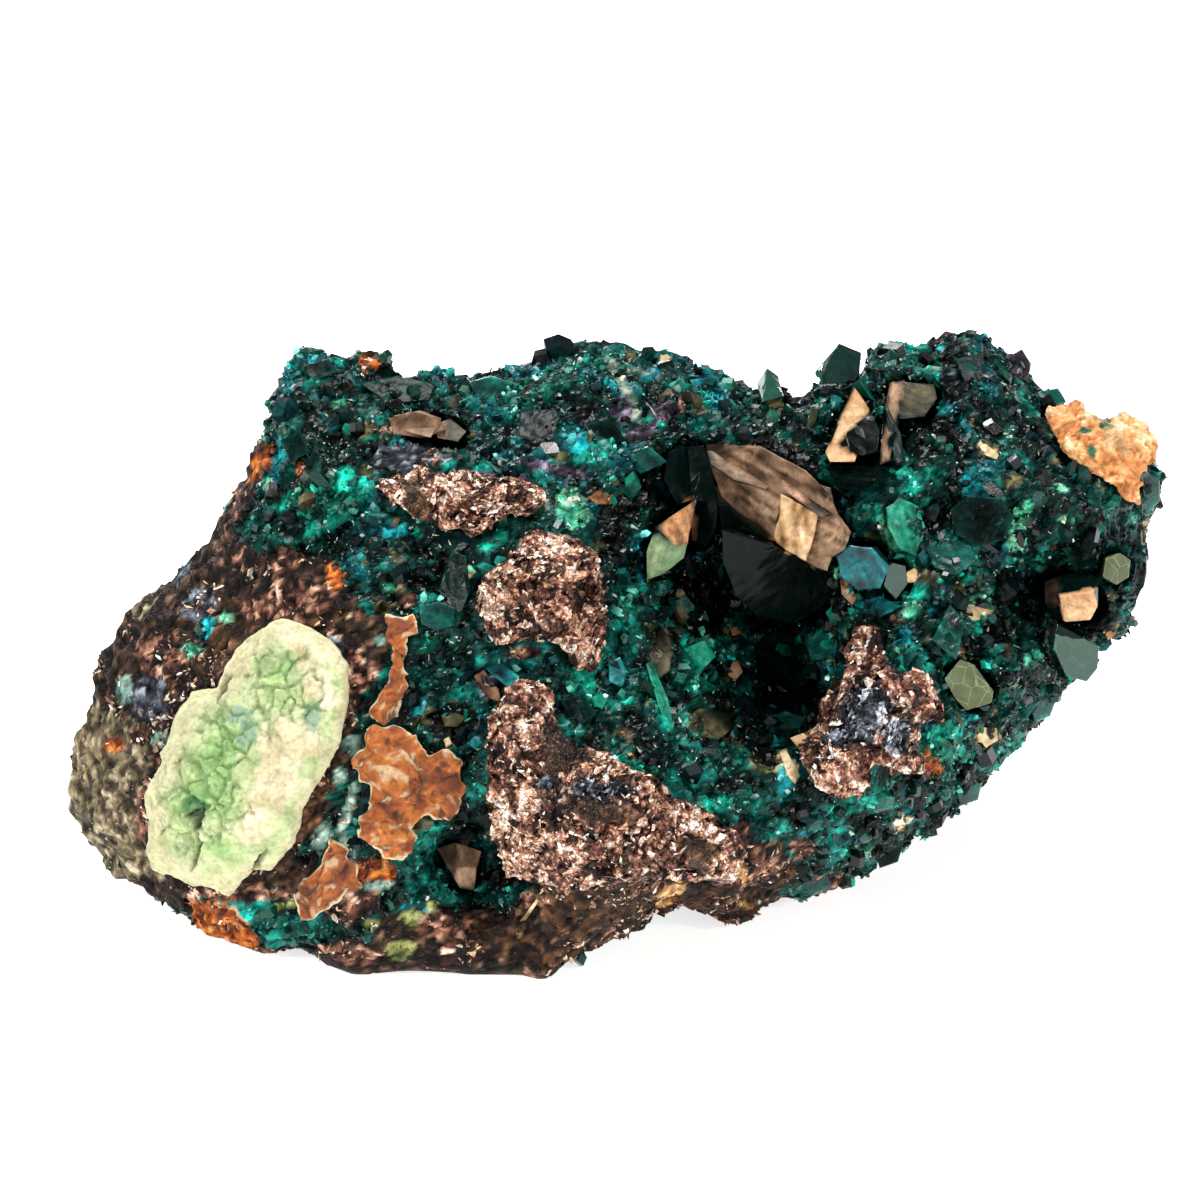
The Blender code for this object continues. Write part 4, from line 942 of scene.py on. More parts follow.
scatter("druse_blocks", up * green_t * np.where(dark_t, 2.2, 1.0), 380, 1.6, 1.9, (0.9, 1.6), 105, dark_glass, CHUNKS, sink=0.45,
        spread=0.45, thick=(0.7, 1.0), lie=True, tone_mean=0.42, tone_spread=0.22, facet=0.35, colour_fn=deep_colour)
# pale cream chips standing in for small white glints: painted glints on the druse
scatter("druse_glint_specks", up * green_t * np.where(has(tri_number, "speck", "mint", "olive", "vein"), 3.0, 0.7), 2200, 0.3, 0.22, (1.2, 2.6), 106, druse, SHARDS[:4],
        sink=0.05, spread=0.7, thick=(0.4, 0.8), lie=True, facet=0.3, colour_fn=lambda p, f, t: pick(palette("#3c6a5c", "#86b09c", "#c8d8c0", "#f0ecd8"), t))

stone = rock_material("grains", 0.5)
foil_like = rock_material("glints", 0.9)
foil_like.node_tree.nodes["Principled BSDF"].inputs["Metallic"].default_value = 0.75
scatter("gossan_grains", up * stone_t * 1.0, 6000, 0.3, 0.46, (0.5, 1.1), 111, stone, CHIPS, sink=0.35, spread=0.6, shade=(0.35, 1.1), facet=0.55, tone_mean=0.36, tone_spread=0.28)
scatter("gossan_glints", up * stone_t * smooth(fbm(middle_t, 2.6, 2, 77), -0.05, 0.3) * ~has(tri_number, "grey"), 1500, 0.4, 0.66, (0.8, 1.4), 114, foil_like, CHIPS, sink=0.2, spread=0.5, shade=(0.6, 1.1), facet=0.6,
        thick=(0.7, 1.0), tall=(0.25, 0.5), lie=True, colour_fn=lambda p, f, t: pick(palette("#22130e", "#5c3c30", "#a87e68", "#e4bc9e", "#ffe8d4"), np.clip(t * 1.1, 0, 1)))
back_t = ~front_t & (tri_level > 0.0006)
scatter("gossan_back", back_t * stone_t * 1.0, 5200, 0.5, 0.80, (0.5, 1.1), 112, stone, CHIPS, sink=0.35, spread=0.6, shade=(0.5, 1.15), facet=0.35)
scatter("druse_back", back_t * green_t * 1.0, 5200, 0.5, 0.66, (0.9, 1.8), 113, druse, SHARDS, sink=0.45, thick=(0.5, 0.9), lie=True,
        spread=0.5, tone_mean=0.36)

# ------------------------------------------------------------------ materials of the crusts
def foil_material():
    """Crumpled metallic flakes, with painted shade in the creases."""
    mat, tree, shader, _ = new_material("bronze_foil")
    tint = attribute(tree)
    where = coords(tree)
    push = node(tree, "ShaderNodeTexNoise", Scale=1.0 / (0.7 * MM), Detail=2.0)
    tree.links.new(where, push.inputs["Vector"])
    bent = tree.nodes.new("ShaderNodeVectorMath")
    bent.operation = "MULTIPLY_ADD"
    tree.links.new(push.outputs["Color"], bent.inputs[0])
    bent.inputs[1].default_value = (0.0007, 0.0007, 0.0007)
    tree.links.new(where, bent.inputs[2])
    crease = voronoi_node(tree, 0.42, "DISTANCE_TO_EDGE", vector=bent.outputs[0])
    fine = voronoi_node(tree, 0.2, "DISTANCE_TO_EDGE", vector=bent.outputs[0])
    cloud = noise_node(tree, 0.35, 4.0, 0.65)
    shade = ramp(tree, [(0.32, 0.30), (0.5, 1.0), (0.68, 2.0)], cloud)
    # painted shade: darker along the creases, which the bump also sinks
    dark = ramp(tree, [(0.0, 0.22), (0.04, 0.7), (0.12, 1.2)], crease)
    colour = mix(tree, mix(tree, tint, shade, 1.0, "MULTIPLY"), dark, 1.0, "MULTIPLY")
    tree.links.new(colour, shader.inputs["Base Color"])
    tree.links.new(ramp(tree, [(0.3, 0.48), (0.7, 0.2)], cloud), shader.inputs["Roughness"])
    shader.inputs["Metallic"].default_value = 0.6
    height = math_node(tree, "ADD", crease, math_node(tree, "MULTIPLY", fine, 0.5))
    bump(tree, shader, height, 0.16, 0.9)
    return mat


def chalk_material(name, grain_mm, low, high, rough=(0.95, 0.8)):
    """Dry, powdery crust, with painted shade in the sunken grain edges."""
    mat, tree, shader, _ = new_material(name)
    tint = attribute(tree)
    cloud = noise_node(tree, 1.1, 5.0, 0.65)
    grain = voronoi_node(tree, grain_mm)
    shade = ramp(tree, [(0.3, low), (0.5, 1.0), (0.7, high)], cloud)
    # painted shade: darker at the grain edges, which the bump sinks
    pits = ramp(tree, [(0.0, 1.06), (0.55, 0.97), (0.8, 0.78)], grain)
    colour = mix(tree, mix(tree, tint, shade, 1.0, "MULTIPLY"), pits, 1.0, "MULTIPLY")
    tree.links.new(colour, shader.inputs["Base Color"])
    tree.links.new(ramp(tree, [(0.3, rough[0]), (0.7, rough[1])], cloud), shader.inputs["Roughness"])
    height = math_node(tree, "ADD", cloud, math_node(tree, "MULTIPLY", grain, -0.5))
    bump(tree, shader, height, 0.10, 0.7)
    return mat


def patch_weight(p, specs, ragged=0.4, size_mm=1.2, seed=90):
    """0..1, how far each point lies in any of these ellipses."""
    u, v, _ = to_grid(p)
    best = np.full(len(p), -9.0)
    for cu, cv, ru, rv, turn in specs:
        c, s = math.cos(math.radians(turn)), math.sin(math.radians(turn))
        du, dv = u - cu, v - cv
        best = np.maximum(best, 1 - np.hypot((du * c + dv * s) / ru, (-du * s + dv * c) / rv))
    return smooth(best + fbm(p, size_mm, 3, seed) * ragged, 0.0, 0.25)


def blend(a, b, w):
    return a * (1 - w)[:, None] + b * w[:, None]


def streaks(p, u_dir, v_dir, width_mm, length_mm, seed):
    """Noise drawn out along a direction on the drawing grid."""
    u, v, d = to_grid(p)
    length = math.hypot(u_dir, v_dir)
    a = ((u * u_dir + v * v_dir) / length) * SQUARE / MM
    b = ((-u * v_dir + v * u_dir) / length) * SQUARE / MM
    q = np.stack([a / length_mm, b / width_mm, d / 2.0], axis=1)
    return value_noise(q, seed) * 0.65 + value_noise(q * 2.1, seed + 1) * 0.35


def ragged(p, amount_mm, seed):
    """A sideways push that breaks up a crust's outline."""
    a = fbm(p, 1.7, 2, seed) + 0.5 * fbm(p, 0.6, 2, seed + 3)
    b = fbm(p, 1.7, 2, seed + 6) + 0.5 * fbm(p, 0.6, 2, seed + 9)
    return (a[:, None] * RIGHT + b[:, None] * UP) * amount_mm * MM


# ------------------------------------------------------------------ bronze crusts
FOIL = foil_material()
FLAKES_LYING = [chunk_template(80 + s, 7, 1.0) for s in range(6)]
BRONZE_NODES = ("bronze_crust_upper", "bronze_crust_middle", "bronze_crust_lower", "bronze_crust_right")
SMOOTH_BROWN = [(417, 500, 15, 24, -20), (566, 740, 26, 42, 20), (704, 852, 22, 20, 0), (540, 512, 10, 12, 0), (600, 812, 40, 12, 8)]
# partly the crust's own peach colour, and painted highlight towards the near-white end of its palette
PEACH_HIGHLIGHT_PATCHES = [
    (450, 492, 34, 12, 10), (540, 498, 10, 11, 0), (505, 512, 40, 10, 10), (452, 528, 8, 10, 0), (488, 592, 30, 12, 20),
    (480, 612, 24, 8, 10), (566, 560, 30, 28, 0), (580, 640, 12, 26, 0), (505, 640, 16, 8, 0), (503, 730, 12, 14, 0),
    (500, 820, 14, 30, 0), (530, 800, 18, 26, 0), (650, 800, 50, 10, 25), (700, 830, 34, 8, 30), (872, 630, 14, 9, 0),
    (832, 772, 34, 20, -20), (895, 757, 22, 15, 0), (620, 780, 24, 8, 20), (560, 840, 40, 8, 5),
]
# painted blue-grey glint on the crusts
BLUE_GREY_GLINT_PATCHES = [(866, 712, 34, 26, -20), (895, 735, 16, 22, 0), (850, 735, 30, 10, 0), (600, 790, 34, 12, 0), (548, 782, 12, 8, 0), (500, 472, 50, 6, 6)]
DARKER = [(570, 752, 20, 30, 20), (560, 800, 30, 20, 0), (590, 800, 26, 16, 0), (852, 700, 10, 30, 20), (480, 604, 26, 5, 20), (545, 625, 20, 8, 0), (905, 720, 8, 20, 0)]


def bronze_colour(p, tone):
    copper = pick(PALETTES["copper"], tone)
    brown_ = pick(PALETTES["umber"], tone * 0.75 + 0.1)
    peach_highlight = pick(palette("#24120c", "#7c5240", "#cf9c80", "#fcd2b8", "#fff2e8"), tone)
    steel = pick(PALETTES["steel"], tone)
    out = blend(copper, brown_, patch_weight(p, SMOOTH_BROWN))
    # blend in the peach colour with its painted highlights
    out = blend(out, peach_highlight, patch_weight(p, PEACH_HIGHLIGHT_PATCHES))
    out = blend(out, steel, patch_weight(p, BLUE_GREY_GLINT_PATCHES))
    return out * (1 - 0.6 * patch_weight(p, DARKER))[:, None]


for index, key in enumerate(BRONZE_NODES):
    bv, bq = remeshed(NODES[key], 0.17, key + "_skin")
    bv = relax(bv, bq, 2)
    bt = np.concatenate([bq[:, [0, 1, 2]], bq[:, [0, 2, 3]]])
    bn = normals_of(bv, bt)
    out = smooth(-(bn @ INTO), 0.0, 0.5)
    calm = patch_weight(bv, SMOOTH_BROWN)
    if key.endswith("lower"):
        line = streaks(bv, 0.92, 0.38, 0.34, 2.6, 500)
        fan = patch_weight(bv, [(670, 820, 80, 40, 20)], 0.2)
    elif key.endswith("right"):
        line = streaks(bv, 0.8, 0.45, 0.3, 2.0, 510)
        fan = patch_weight(bv, [(912, 700, 30, 30, 0), (866, 712, 40, 28, 0)], 0.2)
    elif key.endswith("upper"):
        line = streaks(bv, 0.95, 0.3, 0.4, 1.6, 520)
        fan = np.full(len(bv), 0.5)
    else:
        line = streaks(bv, 0.75, 0.6, 0.4, 1.8, 530)
        fan = patch_weight(bv, [(500, 600, 50, 40, 0)], 0.2)
    fold, own, wall = facets(bv, 1.5, 540 + index)
    crumple, own_, wall_ = facets(bv, 0.72, 550 + index)
    crinkle = 1 - np.abs(fbm(bv, 0.5, 2, 560 + index)) * 2.2
    height = (0.42 * fold + 0.34 * crumple + 0.10 * (crinkle - 0.5)) * (1 - 0.75 * calm) + 0.18 * line * fan
    moved = bv + bn * (height * out * MM)[:, None] + ragged(bv, 0.42, 570)
    # painted shade darkens the crevices at the cell walls (edge); the crinkle ridges and streaks are painted lighter, a
    # painted highlight, on top of each flake's random tone
    edge = 1 - smooth(wall_, 0.0, 0.14)
    tone = 0.46 + 0.85 * (own_[:, 1] - 0.5) + 0.55 * (own[:, 1] - 0.5) + 0.30 * (crinkle - 0.5) + 0.35 * line * fan - 0.35 * edge
    piece = object_from(key + "_foil", moved, bt, colours=bronze_colour(bv, np.clip(tone, 0, 1)))
    piece.data.materials.append(FOIL)
    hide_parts(key)
    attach(piece, "root")
    face_out = out[bt].mean(1)
    calm_t = calm[bt].mean(1)
    count = {"upper": 420, "middle": 480, "lower": 1100, "right": 460}[key.split("_")[-1]]
    scatter(key + "_flakes", (face_out > 0.4) * (1 - 0.9 * calm_t), count, 0.3, 0.70, (0.9, 1.7), 600 + index, FOIL,
            FLAKES_LYING, sink=0.1, spread=0.30, follow=0.7, shade=(0.8, 1.1), facet=0.5, tone_mean=0.6, tone_spread=0.3,
            surface=(moved, bt, bn, np.ones(len(bt), bool)), thick=(0.6, 1.0), tall=(0.12, 0.3), lie=True,
            colour_fn=lambda p, f, t: bronze_colour(p, t))

# ------------------------------------------------------------------ the green slab
CHALK = chalk_material("green_crust", 0.30, 0.86, 1.1)
sv, sq = remeshed(NODES["green_crust_slab"], 0.165, "slab_skin")
sv = relax(sv, sq, 2)
st = np.concatenate([sq[:, [0, 1, 2]], sq[:, [0, 2, 3]]])
sn = normals_of(sv, st)
out = smooth(-(sn @ INTO), -0.2, 0.4)
u, v, _ = to_grid(sv)


def crack_field(p, size_mm, seed):
    """Distance between the two nearest of one point to each cell: near 0 on the cracks."""
    q = np.asarray(p) / (size_mm * MM)
    q = q + np.stack([value_noise(q * 1.3, seed + 50 + k) for k in range(3)], axis=1) * 0.35
    cell = np.floor(q).astype(np.int64)
    first = np.full(len(q), 9.0)
    second = np.full(len(q), 9.0)
    for dx in (-1, 0, 1):
        for dy in (-1, 0, 1):
            for dz in (-1, 0, 1):
                c = cell + (dx, dy, dz)
                centre = c + np.stack([hash3(c[:, 0], c[:, 1], c[:, 2], seed + k) for k in range(3)], axis=1)
                d = np.linalg.norm(q - centre, axis=1)
                second = np.minimum(second, np.maximum(first, d))
                first = np.minimum(first, d)
    return second - first


crack = crack_field(sv, 1.7, 700)
fine_crack = crack_field(sv, 0.8, 710)
where_cracked = smooth(patch_weight(sv, [(280, 690, 46, 50, 0), (200, 800, 50, 60, 0), (225, 740, 34, 40, 0)], 0.5), 0.0, 1.0)
groove = (1 - smooth(crack, 0.02, 0.16)) * (0.25 + 0.75 * where_cracked)
fine_groove = (1 - smooth(fine_crack, 0.02, 0.18)) * where_cracked * 0.7
CLEFTS = [(196, 850, 3, 20, 12), (198, 822, 5, 14, 0), (262, 857, 3, 12, 40), (257, 866, 3, 8, 30), (190, 818, 8, 6, 0), (224, 686, 3, 16, 25)]
cleft = patch_weight(sv, CLEFTS, 0.25, 0.8)
pit = patch_weight(sv, [(195, 806, 17, 12, 0)], 0.4, 0.8)
lump = fbm(sv, 2.2, 3, 720)
rough_ = fbm(sv, 0.5, 2, 730)
height = 0.26 * lump + 0.10 * rough_ - 0.30 * groove - 0.16 * fine_groove - 0.75 * cleft - 0.55 * pit
height = height + 0.16 * smooth(fbm(sv, 1.1, 2, 735), 0.0, 0.1) * where_cracked
moved = sv + sn * (height * out * MM)[:, None]
edge_in = loop_distance(u, v, [
    (290, 623), (312, 629), (335, 646), (351, 670), (349, 702), (340, 742), (323, 774), (311, 791), (304, 812), (297, 836),
    (286, 849), (274, 863), (260, 861), (246, 874), (234, 885), (219, 879), (203, 882), (186, 869), (165, 862), (157, 848),
    (164, 818), (156, 795), (174, 766), (181, 740), (192, 712), (204, 696), (230, 692), (236, 674), (248, 657), (266, 639),
])
green = pick(palette("#7ea266", "#9cbc7a", "#b6cc8c", "#cbd8a4"), 0.5 + 0.9 * fbm(sv, 1.5, 3, 740))
cream = pick(palette("#bcb08a", "#d0c49c", "#dfd3b0", "#eadfc4"), 0.5 + 0.8 * fbm(sv, 1.1, 3, 741))
lime = pick(palette("#a3b47e", "#b9c692", "#cbd2a8"), 0.5 + 0.8 * fbm(sv, 1.3, 3, 742))
creamy = patch_weight(sv, [(300, 640, 50, 14, 25), (318, 690, 34, 20, 60), (285, 760, 26, 60, 18), (262, 800, 16, 50, 12), (240, 660, 14, 30, 30), (300, 745, 26, 22, 0)], 0.8, 1.6)
greener = patch_weight(sv, [(205, 790, 34, 36, 10), (225, 745, 22, 28, 0), (285, 672, 20, 14, 0), (300, 705, 24, 14, 20), (330, 730, 10, 24, 10), (210, 850, 30, 14, 0)], 0.8, 1.4)
colour = blend(lime, cream, creamy)
colour = blend(colour, green, greener * (1 - 0.5 * creamy))
rim = 1 - smooth(edge_in + fbm(sv, 1.0, 2, 745) * 6, 3, 12)
colour = blend(colour, pick(palette("#bdb58c", "#d2c8a4"), 0.5 + fbm(sv, 0.8, 2, 746)), np.clip(rim, 0, 1) * 0.8)
teal_grey = patch_weight(sv, [(238, 716, 16, 8, -20), (246, 735, 10, 14, 20), (312, 718, 8, 16, 10)], 0.6, 1.0)
colour = blend(colour, np.tile(lin("#86a590"), (len(sv), 1)), teal_grey * 0.8)
# painted shade: darker greens in the grooves and the pit, near black in the clefts, where the relief sinks
colour = blend(colour, np.tile(lin("#5c8a50"), (len(sv), 1)), np.clip(groove + 0.8 * fine_groove, 0, 1) * 0.5)
colour = blend(colour, np.tile(lin("#3f7a4a"), (len(sv), 1)), np.clip(pit, 0, 1) * 0.85)
colour = blend(colour, np.tile(lin("#14301c"), (len(sv), 1)), np.clip(cleft, 0, 1) * 0.9)
moved = moved + ragged(sv, 0.22, 750)
slab = object_from("green_crust_chalk", moved, st, colours=colour, smooth_faces=True)
slab.data.materials.append(CHALK)
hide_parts("green_crust_slab")
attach(slab, "root")
print("slab", len(st))

# ------------------------------------------------------------------ the ochre crusts
OCHRE = chalk_material("ochre_crust", 0.26, 0.66, 1.3, (0.92, 0.6))
OUTLINES = {
    "ochre_crust_main": 1, "ochre_crust_strip": 2, "ochre_crust_foot": 3, "ochre_knob": 4,
}
for index, key in enumerate(OUTLINES):
    knob = key == "ochre_knob"
    ov, oq = remeshed(NODES[key], 0.14, key + "_skin")
    ov = relax(ov, oq, 2)
    ot = np.concatenate([oq[:, [0, 1, 2]], oq[:, [0, 2, 3]]])
    on = normals_of(ov, ot)
    out = smooth(-(on @ INTO), -0.2, 0.4)
    grain = cube_relief(ov, 0.62 if knob else 0.8, 800 + index)
    fine_ = cube_relief(ov, 0.36, 810 + index)
    lump = fbm(ov, 2.0, 3, 820)
    gaps = crack_field(ov, 1.9, 830)
    groove = (1 - smooth(gaps, 0.02, 0.10)) * (0.0 if knob else 0.8)
    if knob:
        height = 0.42 * (grain - 0.4) + 0.16 * (fine_ - 0.3) + 0.12 * lump
    else:
        height = 0.24 * (grain - 0.4) + 0.16 * (fine_ - 0.3) + 0.26 * lump
    moved = ov + on * (height * out * MM)[:, None]
    moved = moved + ragged(ov, 0.34 if knob else 0.85, 870)
    side = 1 - smooth(-(on @ INTO), 0.25, 0.75)
    # tone lighter on the raised grains (fine_, and grain on the knob) and darker between them: painted shade on top of
    # random tone
    tone = np.clip(0.42 + 0.5 * fbm(ov, 0.8, 3, 840) + 0.3 * (fine_ - 0.3), 0, 1)
    if knob:
        colour = pick(palette("#7a4620", "#c27a3c", "#e0a468", "#ffd6a8", "#fff0d8"), np.clip(tone + 0.35 * (grain - 0.35), 0, 1))
        greenish = patch_weight(ov, [(1085, 432, 8, 5, 0), (1104, 424, 8, 6, 0), (1092, 450, 6, 8, 0)], 0.6, 0.8)
        colour = blend(colour, np.tile(lin("#2a5a3c"), (len(ov), 1)), greenish)
        greyish = patch_weight(ov, [(1105, 415, 24, 7, 0), (1115, 440, 20, 12, 30)], 0.7, 1.0)
        colour = blend(colour, pick(palette("#6a5238", "#a8885c", "#e0cca0"), tone), greyish * 0.7)
        deep = patch_weight(ov, [(1130, 470, 30, 14, 0), (1128, 495, 10, 16, 0), (1060, 425, 16, 14, 0)], 0.6, 1.2)
        colour = blend(colour, pick(palette("#8a4a20", "#d88848", "#ffbc80"), tone), deep * 0.7)
    else:
        colour = pick(palette("#34160a", "#743810", "#a05418", "#bc6e2a", "#d8a062"), tone)
        dark = smooth(fbm(ov, 1.8, 2, 850), 0.12, 0.4)
        colour = blend(colour, pick(palette("#3a1608", "#6a2e12", "#8a4018"), tone), dark * 0.8)
        rim = np.clip(side + 0.55 * smooth(fbm(ov, 0.5, 2, 855), 0.25, 0.5), 0, 1)
        colour = blend(colour, np.tile(lin("#dccfa8"), (len(ov), 1)), rim * 0.85)
        pits = smooth(fbm(ov, 0.45, 2, 858), 0.35, 0.55)
        colour = colour * (1 - 0.7 * pits)[:, None]
    piece = object_from(key + "_earth", moved, ot, colours=colour, smooth_faces=not knob)
    piece.data.materials.append(OCHRE)
    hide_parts(key)
    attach(piece, "root")
    print(key, len(ot))


# ------------------------------------------------------------------ the large crystals
def glass_material(name, colour, deep, density, rough=0.05, transmission=0.85, gloss=0.3, ior=1.66):
    """Clear crystal: it lets light through, and its body takes up part of it."""
    mat, tree, shader, output = new_material(name)
    shader.inputs["Specular IOR Level"].default_value = gloss
    cloud = noise_node(tree, 1.4, 4.0, 0.6)
    veil = voronoi_node(tree, 1.1, "DISTANCE_TO_EDGE")
    base_ = mix(tree, lin(colour) * 0.35, lin(colour) * 1.5, cloud)
    lines = ramp(tree, [(0.0, 2.4), (0.03, 1.0)], veil)
    tree.links.new(mix(tree, base_, lines, 1.0, "MULTIPLY"), shader.inputs["Base Color"])
    tree.links.new(ramp(tree, [(0.3, rough * 0.5), (0.75, rough * 2.2)], cloud), shader.inputs["Roughness"])
    shader.inputs["IOR"].default_value = ior
    shader.inputs["Transmission Weight"].default_value = transmission
    bump(tree, shader, noise_node(tree, 0.5, 2.0), 0.02, 0.25)
    absorb = node(tree, "ShaderNodeVolumeAbsorption", Density=density)
    absorb.inputs["Color"].default_value = (*lin(deep), 1.0)
    tree.links.new(absorb.outputs["Volume"], output.inputs["Volume"])
    return mat


def face_material(name, gloss=0.10):
    """A crystal face: its tint, small flaws and a soft sheen."""
    mat, tree, shader, _ = new_material(name)
    shader.inputs["Specular IOR Level"].default_value = gloss
    shader.inputs["IOR"].default_value = 1.4
    # tint: the painted reflection colour of each face
    tint = attribute(tree)
    cloud = noise_node(tree, 0.5, 5.0, 0.7)
    shade = ramp(tree, [(0.32, 0.55), (0.5, 1.0), (0.68, 1.4)], cloud)
    flaws = ramp(tree, [(0.04, 0.45), (0.13, 1.0)], voronoi_node(tree, 0.7))
    tree.links.new(mix(tree, mix(tree, tint, shade, 1.0, "MULTIPLY"), flaws, 1.0, "MULTIPLY"), shader.inputs["Base Color"])
    tree.links.new(ramp(tree, [(0.3, 0.42), (0.7, 0.20)], cloud), shader.inputs["Roughness"])
    bump(tree, shader, cloud, 0.05, 0.5)
    return mat


EMERALD = glass_material("dioptase_clear", "#0a6a50", "#0a8a66", 700.0, 0.06, 0.7, 0.12)
INK = glass_material("dioptase_deep", "#020f0d", "#03251f", 3000.0, 0.12, 0.2, 0.05, 1.45)
OLIVE_GLASS = glass_material("pale_dioptase", "#6c7656", "#8a946c", 260.0, 0.14, 0.35, 0.15)
FACE = face_material("crystal_face")

# TAN, ROSE, CREAM, SAND, MOSS, CELADON, SMOKE and RUSTY, with STRAW below, colour the painted reflections on crystal
# faces: light warm ones and dark ones
TAN = palette("#241810", "#5c4534", "#947860", "#bc9e80")
ROSE = palette("#140c08", "#5a3c2e", "#b68c70", "#e4bea0")
CREAM = palette("#4a321c", "#a07c54", "#d8b48a", "#f6dcb8")
SAND = palette("#7a583c", "#b88c64", "#dcb48c", "#f0cca4")
MOSS = palette("#0a0d0a", "#22241a", "#4a4632", "#7c7250")
CELADON = palette("#24362a", "#4c664c", "#76906a", "#a8b48c")
SMOKE = palette("#0a0807", "#1e1712", "#3c3026", "#6a5644")
RUSTY = palette("#2a160c", "#6e4424", "#b07c50", "#dca478")
GLOW = palette("#04352c", "#0c6a56", "#1fae8c", "#86dcb8")
INKY = palette("#010303", "#03100e", "#06221d", "#0c3a33")

# node: (body, [painted reflections on its front faces: (palette, streak direction, streak width mm, streak strength,
# outline on the drawing grid)])
LARGE = {
    "pocket_roof_crystals": (INK, [
        (MOSS, (0.8, 0.6), 0.5, 0.5, [(705, 444), (760, 445), (785, 470), (790, 532), (770, 540), (742, 516), (720, 500)]),
        (TAN, (0.88, 0.47), 0.4, 0.5, [(708, 446), (762, 446), (800, 470), (792, 486), (770, 498), (740, 478), (716, 470)]),
        (ROSE, (0.88, 0.47), 0.22, 1.0, [(772, 462), (800, 468), (830, 492), (838, 516), (822, 520), (800, 500), (776, 486)]),
        (TAN, (0.7, 0.7), 0.4, 0.4, [(806, 516), (822, 510), (850, 530), (842, 548), (828, 570), (810, 566)]),
        (CREAM, (0.1, 1.0), 0.3, 0.7, [(781, 494), (818, 513), (808, 562), (772, 540), (782, 520)]),
    ]),
    "pocket_left_crystals": (INK, [
        (RUSTY, (0.4, 0.9), 0.25, 0.9, [(694, 496), (693, 545), (676, 549), (660, 528), (676, 508)]),
        (CELADON, (0.9, -0.4), 0.5, 0.5, [(648, 536), (662, 534), (678, 548), (692, 541), (686, 566), (646, 582), (640, 560)]),
    ]),
    "arrow_crystals": (INK, [
        (SAND, (0.6, 0.8), 0.6, 0.25, [(855, 385), (870, 403), (868, 414), (848, 430), (839, 441), (847, 450), (860, 457), (856, 462), (828, 463), (824, 454), (836, 432), (846, 408)]),
    ]),
    "blade_crystals": (INK, [
        (MOSS, (0.2, 1.0), 0.5, 0.6, [(900, 384), (934, 380), (942, 396), (928, 416), (904, 420)]),
        (TAN, (-0.15, 1.0), 0.25, 1.0, [(888, 384), (904, 380), (897, 420), (888, 440), (890, 460), (880, 466), (884, 430)]),
    ]),
    "plate_crystals": (INK, [
        (TAN, (0.9, 0.3), 0.35, 0.7, [(385, 405), (448, 405), (448, 445), (385, 445)]),
        (MOSS, (0.9, 0.3), 0.35, 0.7, [(448, 405), (475, 415), (470, 450), (448, 445)]),
    ]),
    "right_pocket_crystal": (INK, [
        (SAND, (0.9, 0.2), 0.5, 0.35, [(1058, 594), (1096, 588), (1102, 606), (1092, 622), (1064, 624)]),
        (SMOKE, (0.9, 0.2), 0.5, 0.6, [(1040, 574), (1060, 572), (1060, 606), (1040, 606)]),
    ]),
    "low_pocket_crystal": (INK, [
        (SMOKE, (0.2, 1.0), 0.5, 0.6, [(430, 836), (460, 834), (460, 872), (430, 872)]),
        (TAN, (0.2, 1.0), 0.4, 0.6, [(456, 838), (488, 842), (482, 884), (456, 888)]),
    ]),
    "ridge_crystals": (EMERALD, [(INKY, (0.2, 1.0), 0.6, 0.6, [(824, 340), (870, 340), (870, 392), (824, 392)])]),
    "ridge_left_crystal": (EMERALD, []),
    "rim_crystals": (EMERALD, [
        (MOSS, (0.9, 0.2), 0.4, 0.6, [(1100, 640), (1130, 644), (1122, 660), (1102, 655)]),
        (INKY, (0.2, 1.0), 0.6, 0.6, [(1060, 540), (1120, 540), (1120, 636), (1060, 636)]),
    ]),
    "emerald_blocks": (EMERALD, [
        (INKY, (0.5, 0.8), 0.6, 0.8, [(846, 536), (894, 536), (894, 560), (860, 600), (836, 580)]),
    ]),
    "olive_crystal": (OLIVE_GLASS, []),
    "right_olive_crystal": (OLIVE_GLASS, []),
}


def longest_edge(v, t):
    return np.max([np.linalg.norm(v[t[:, a]] - v[t[:, b]], axis=1) for a, b in ((0, 1), (1, 2), (2, 0))], axis=0)


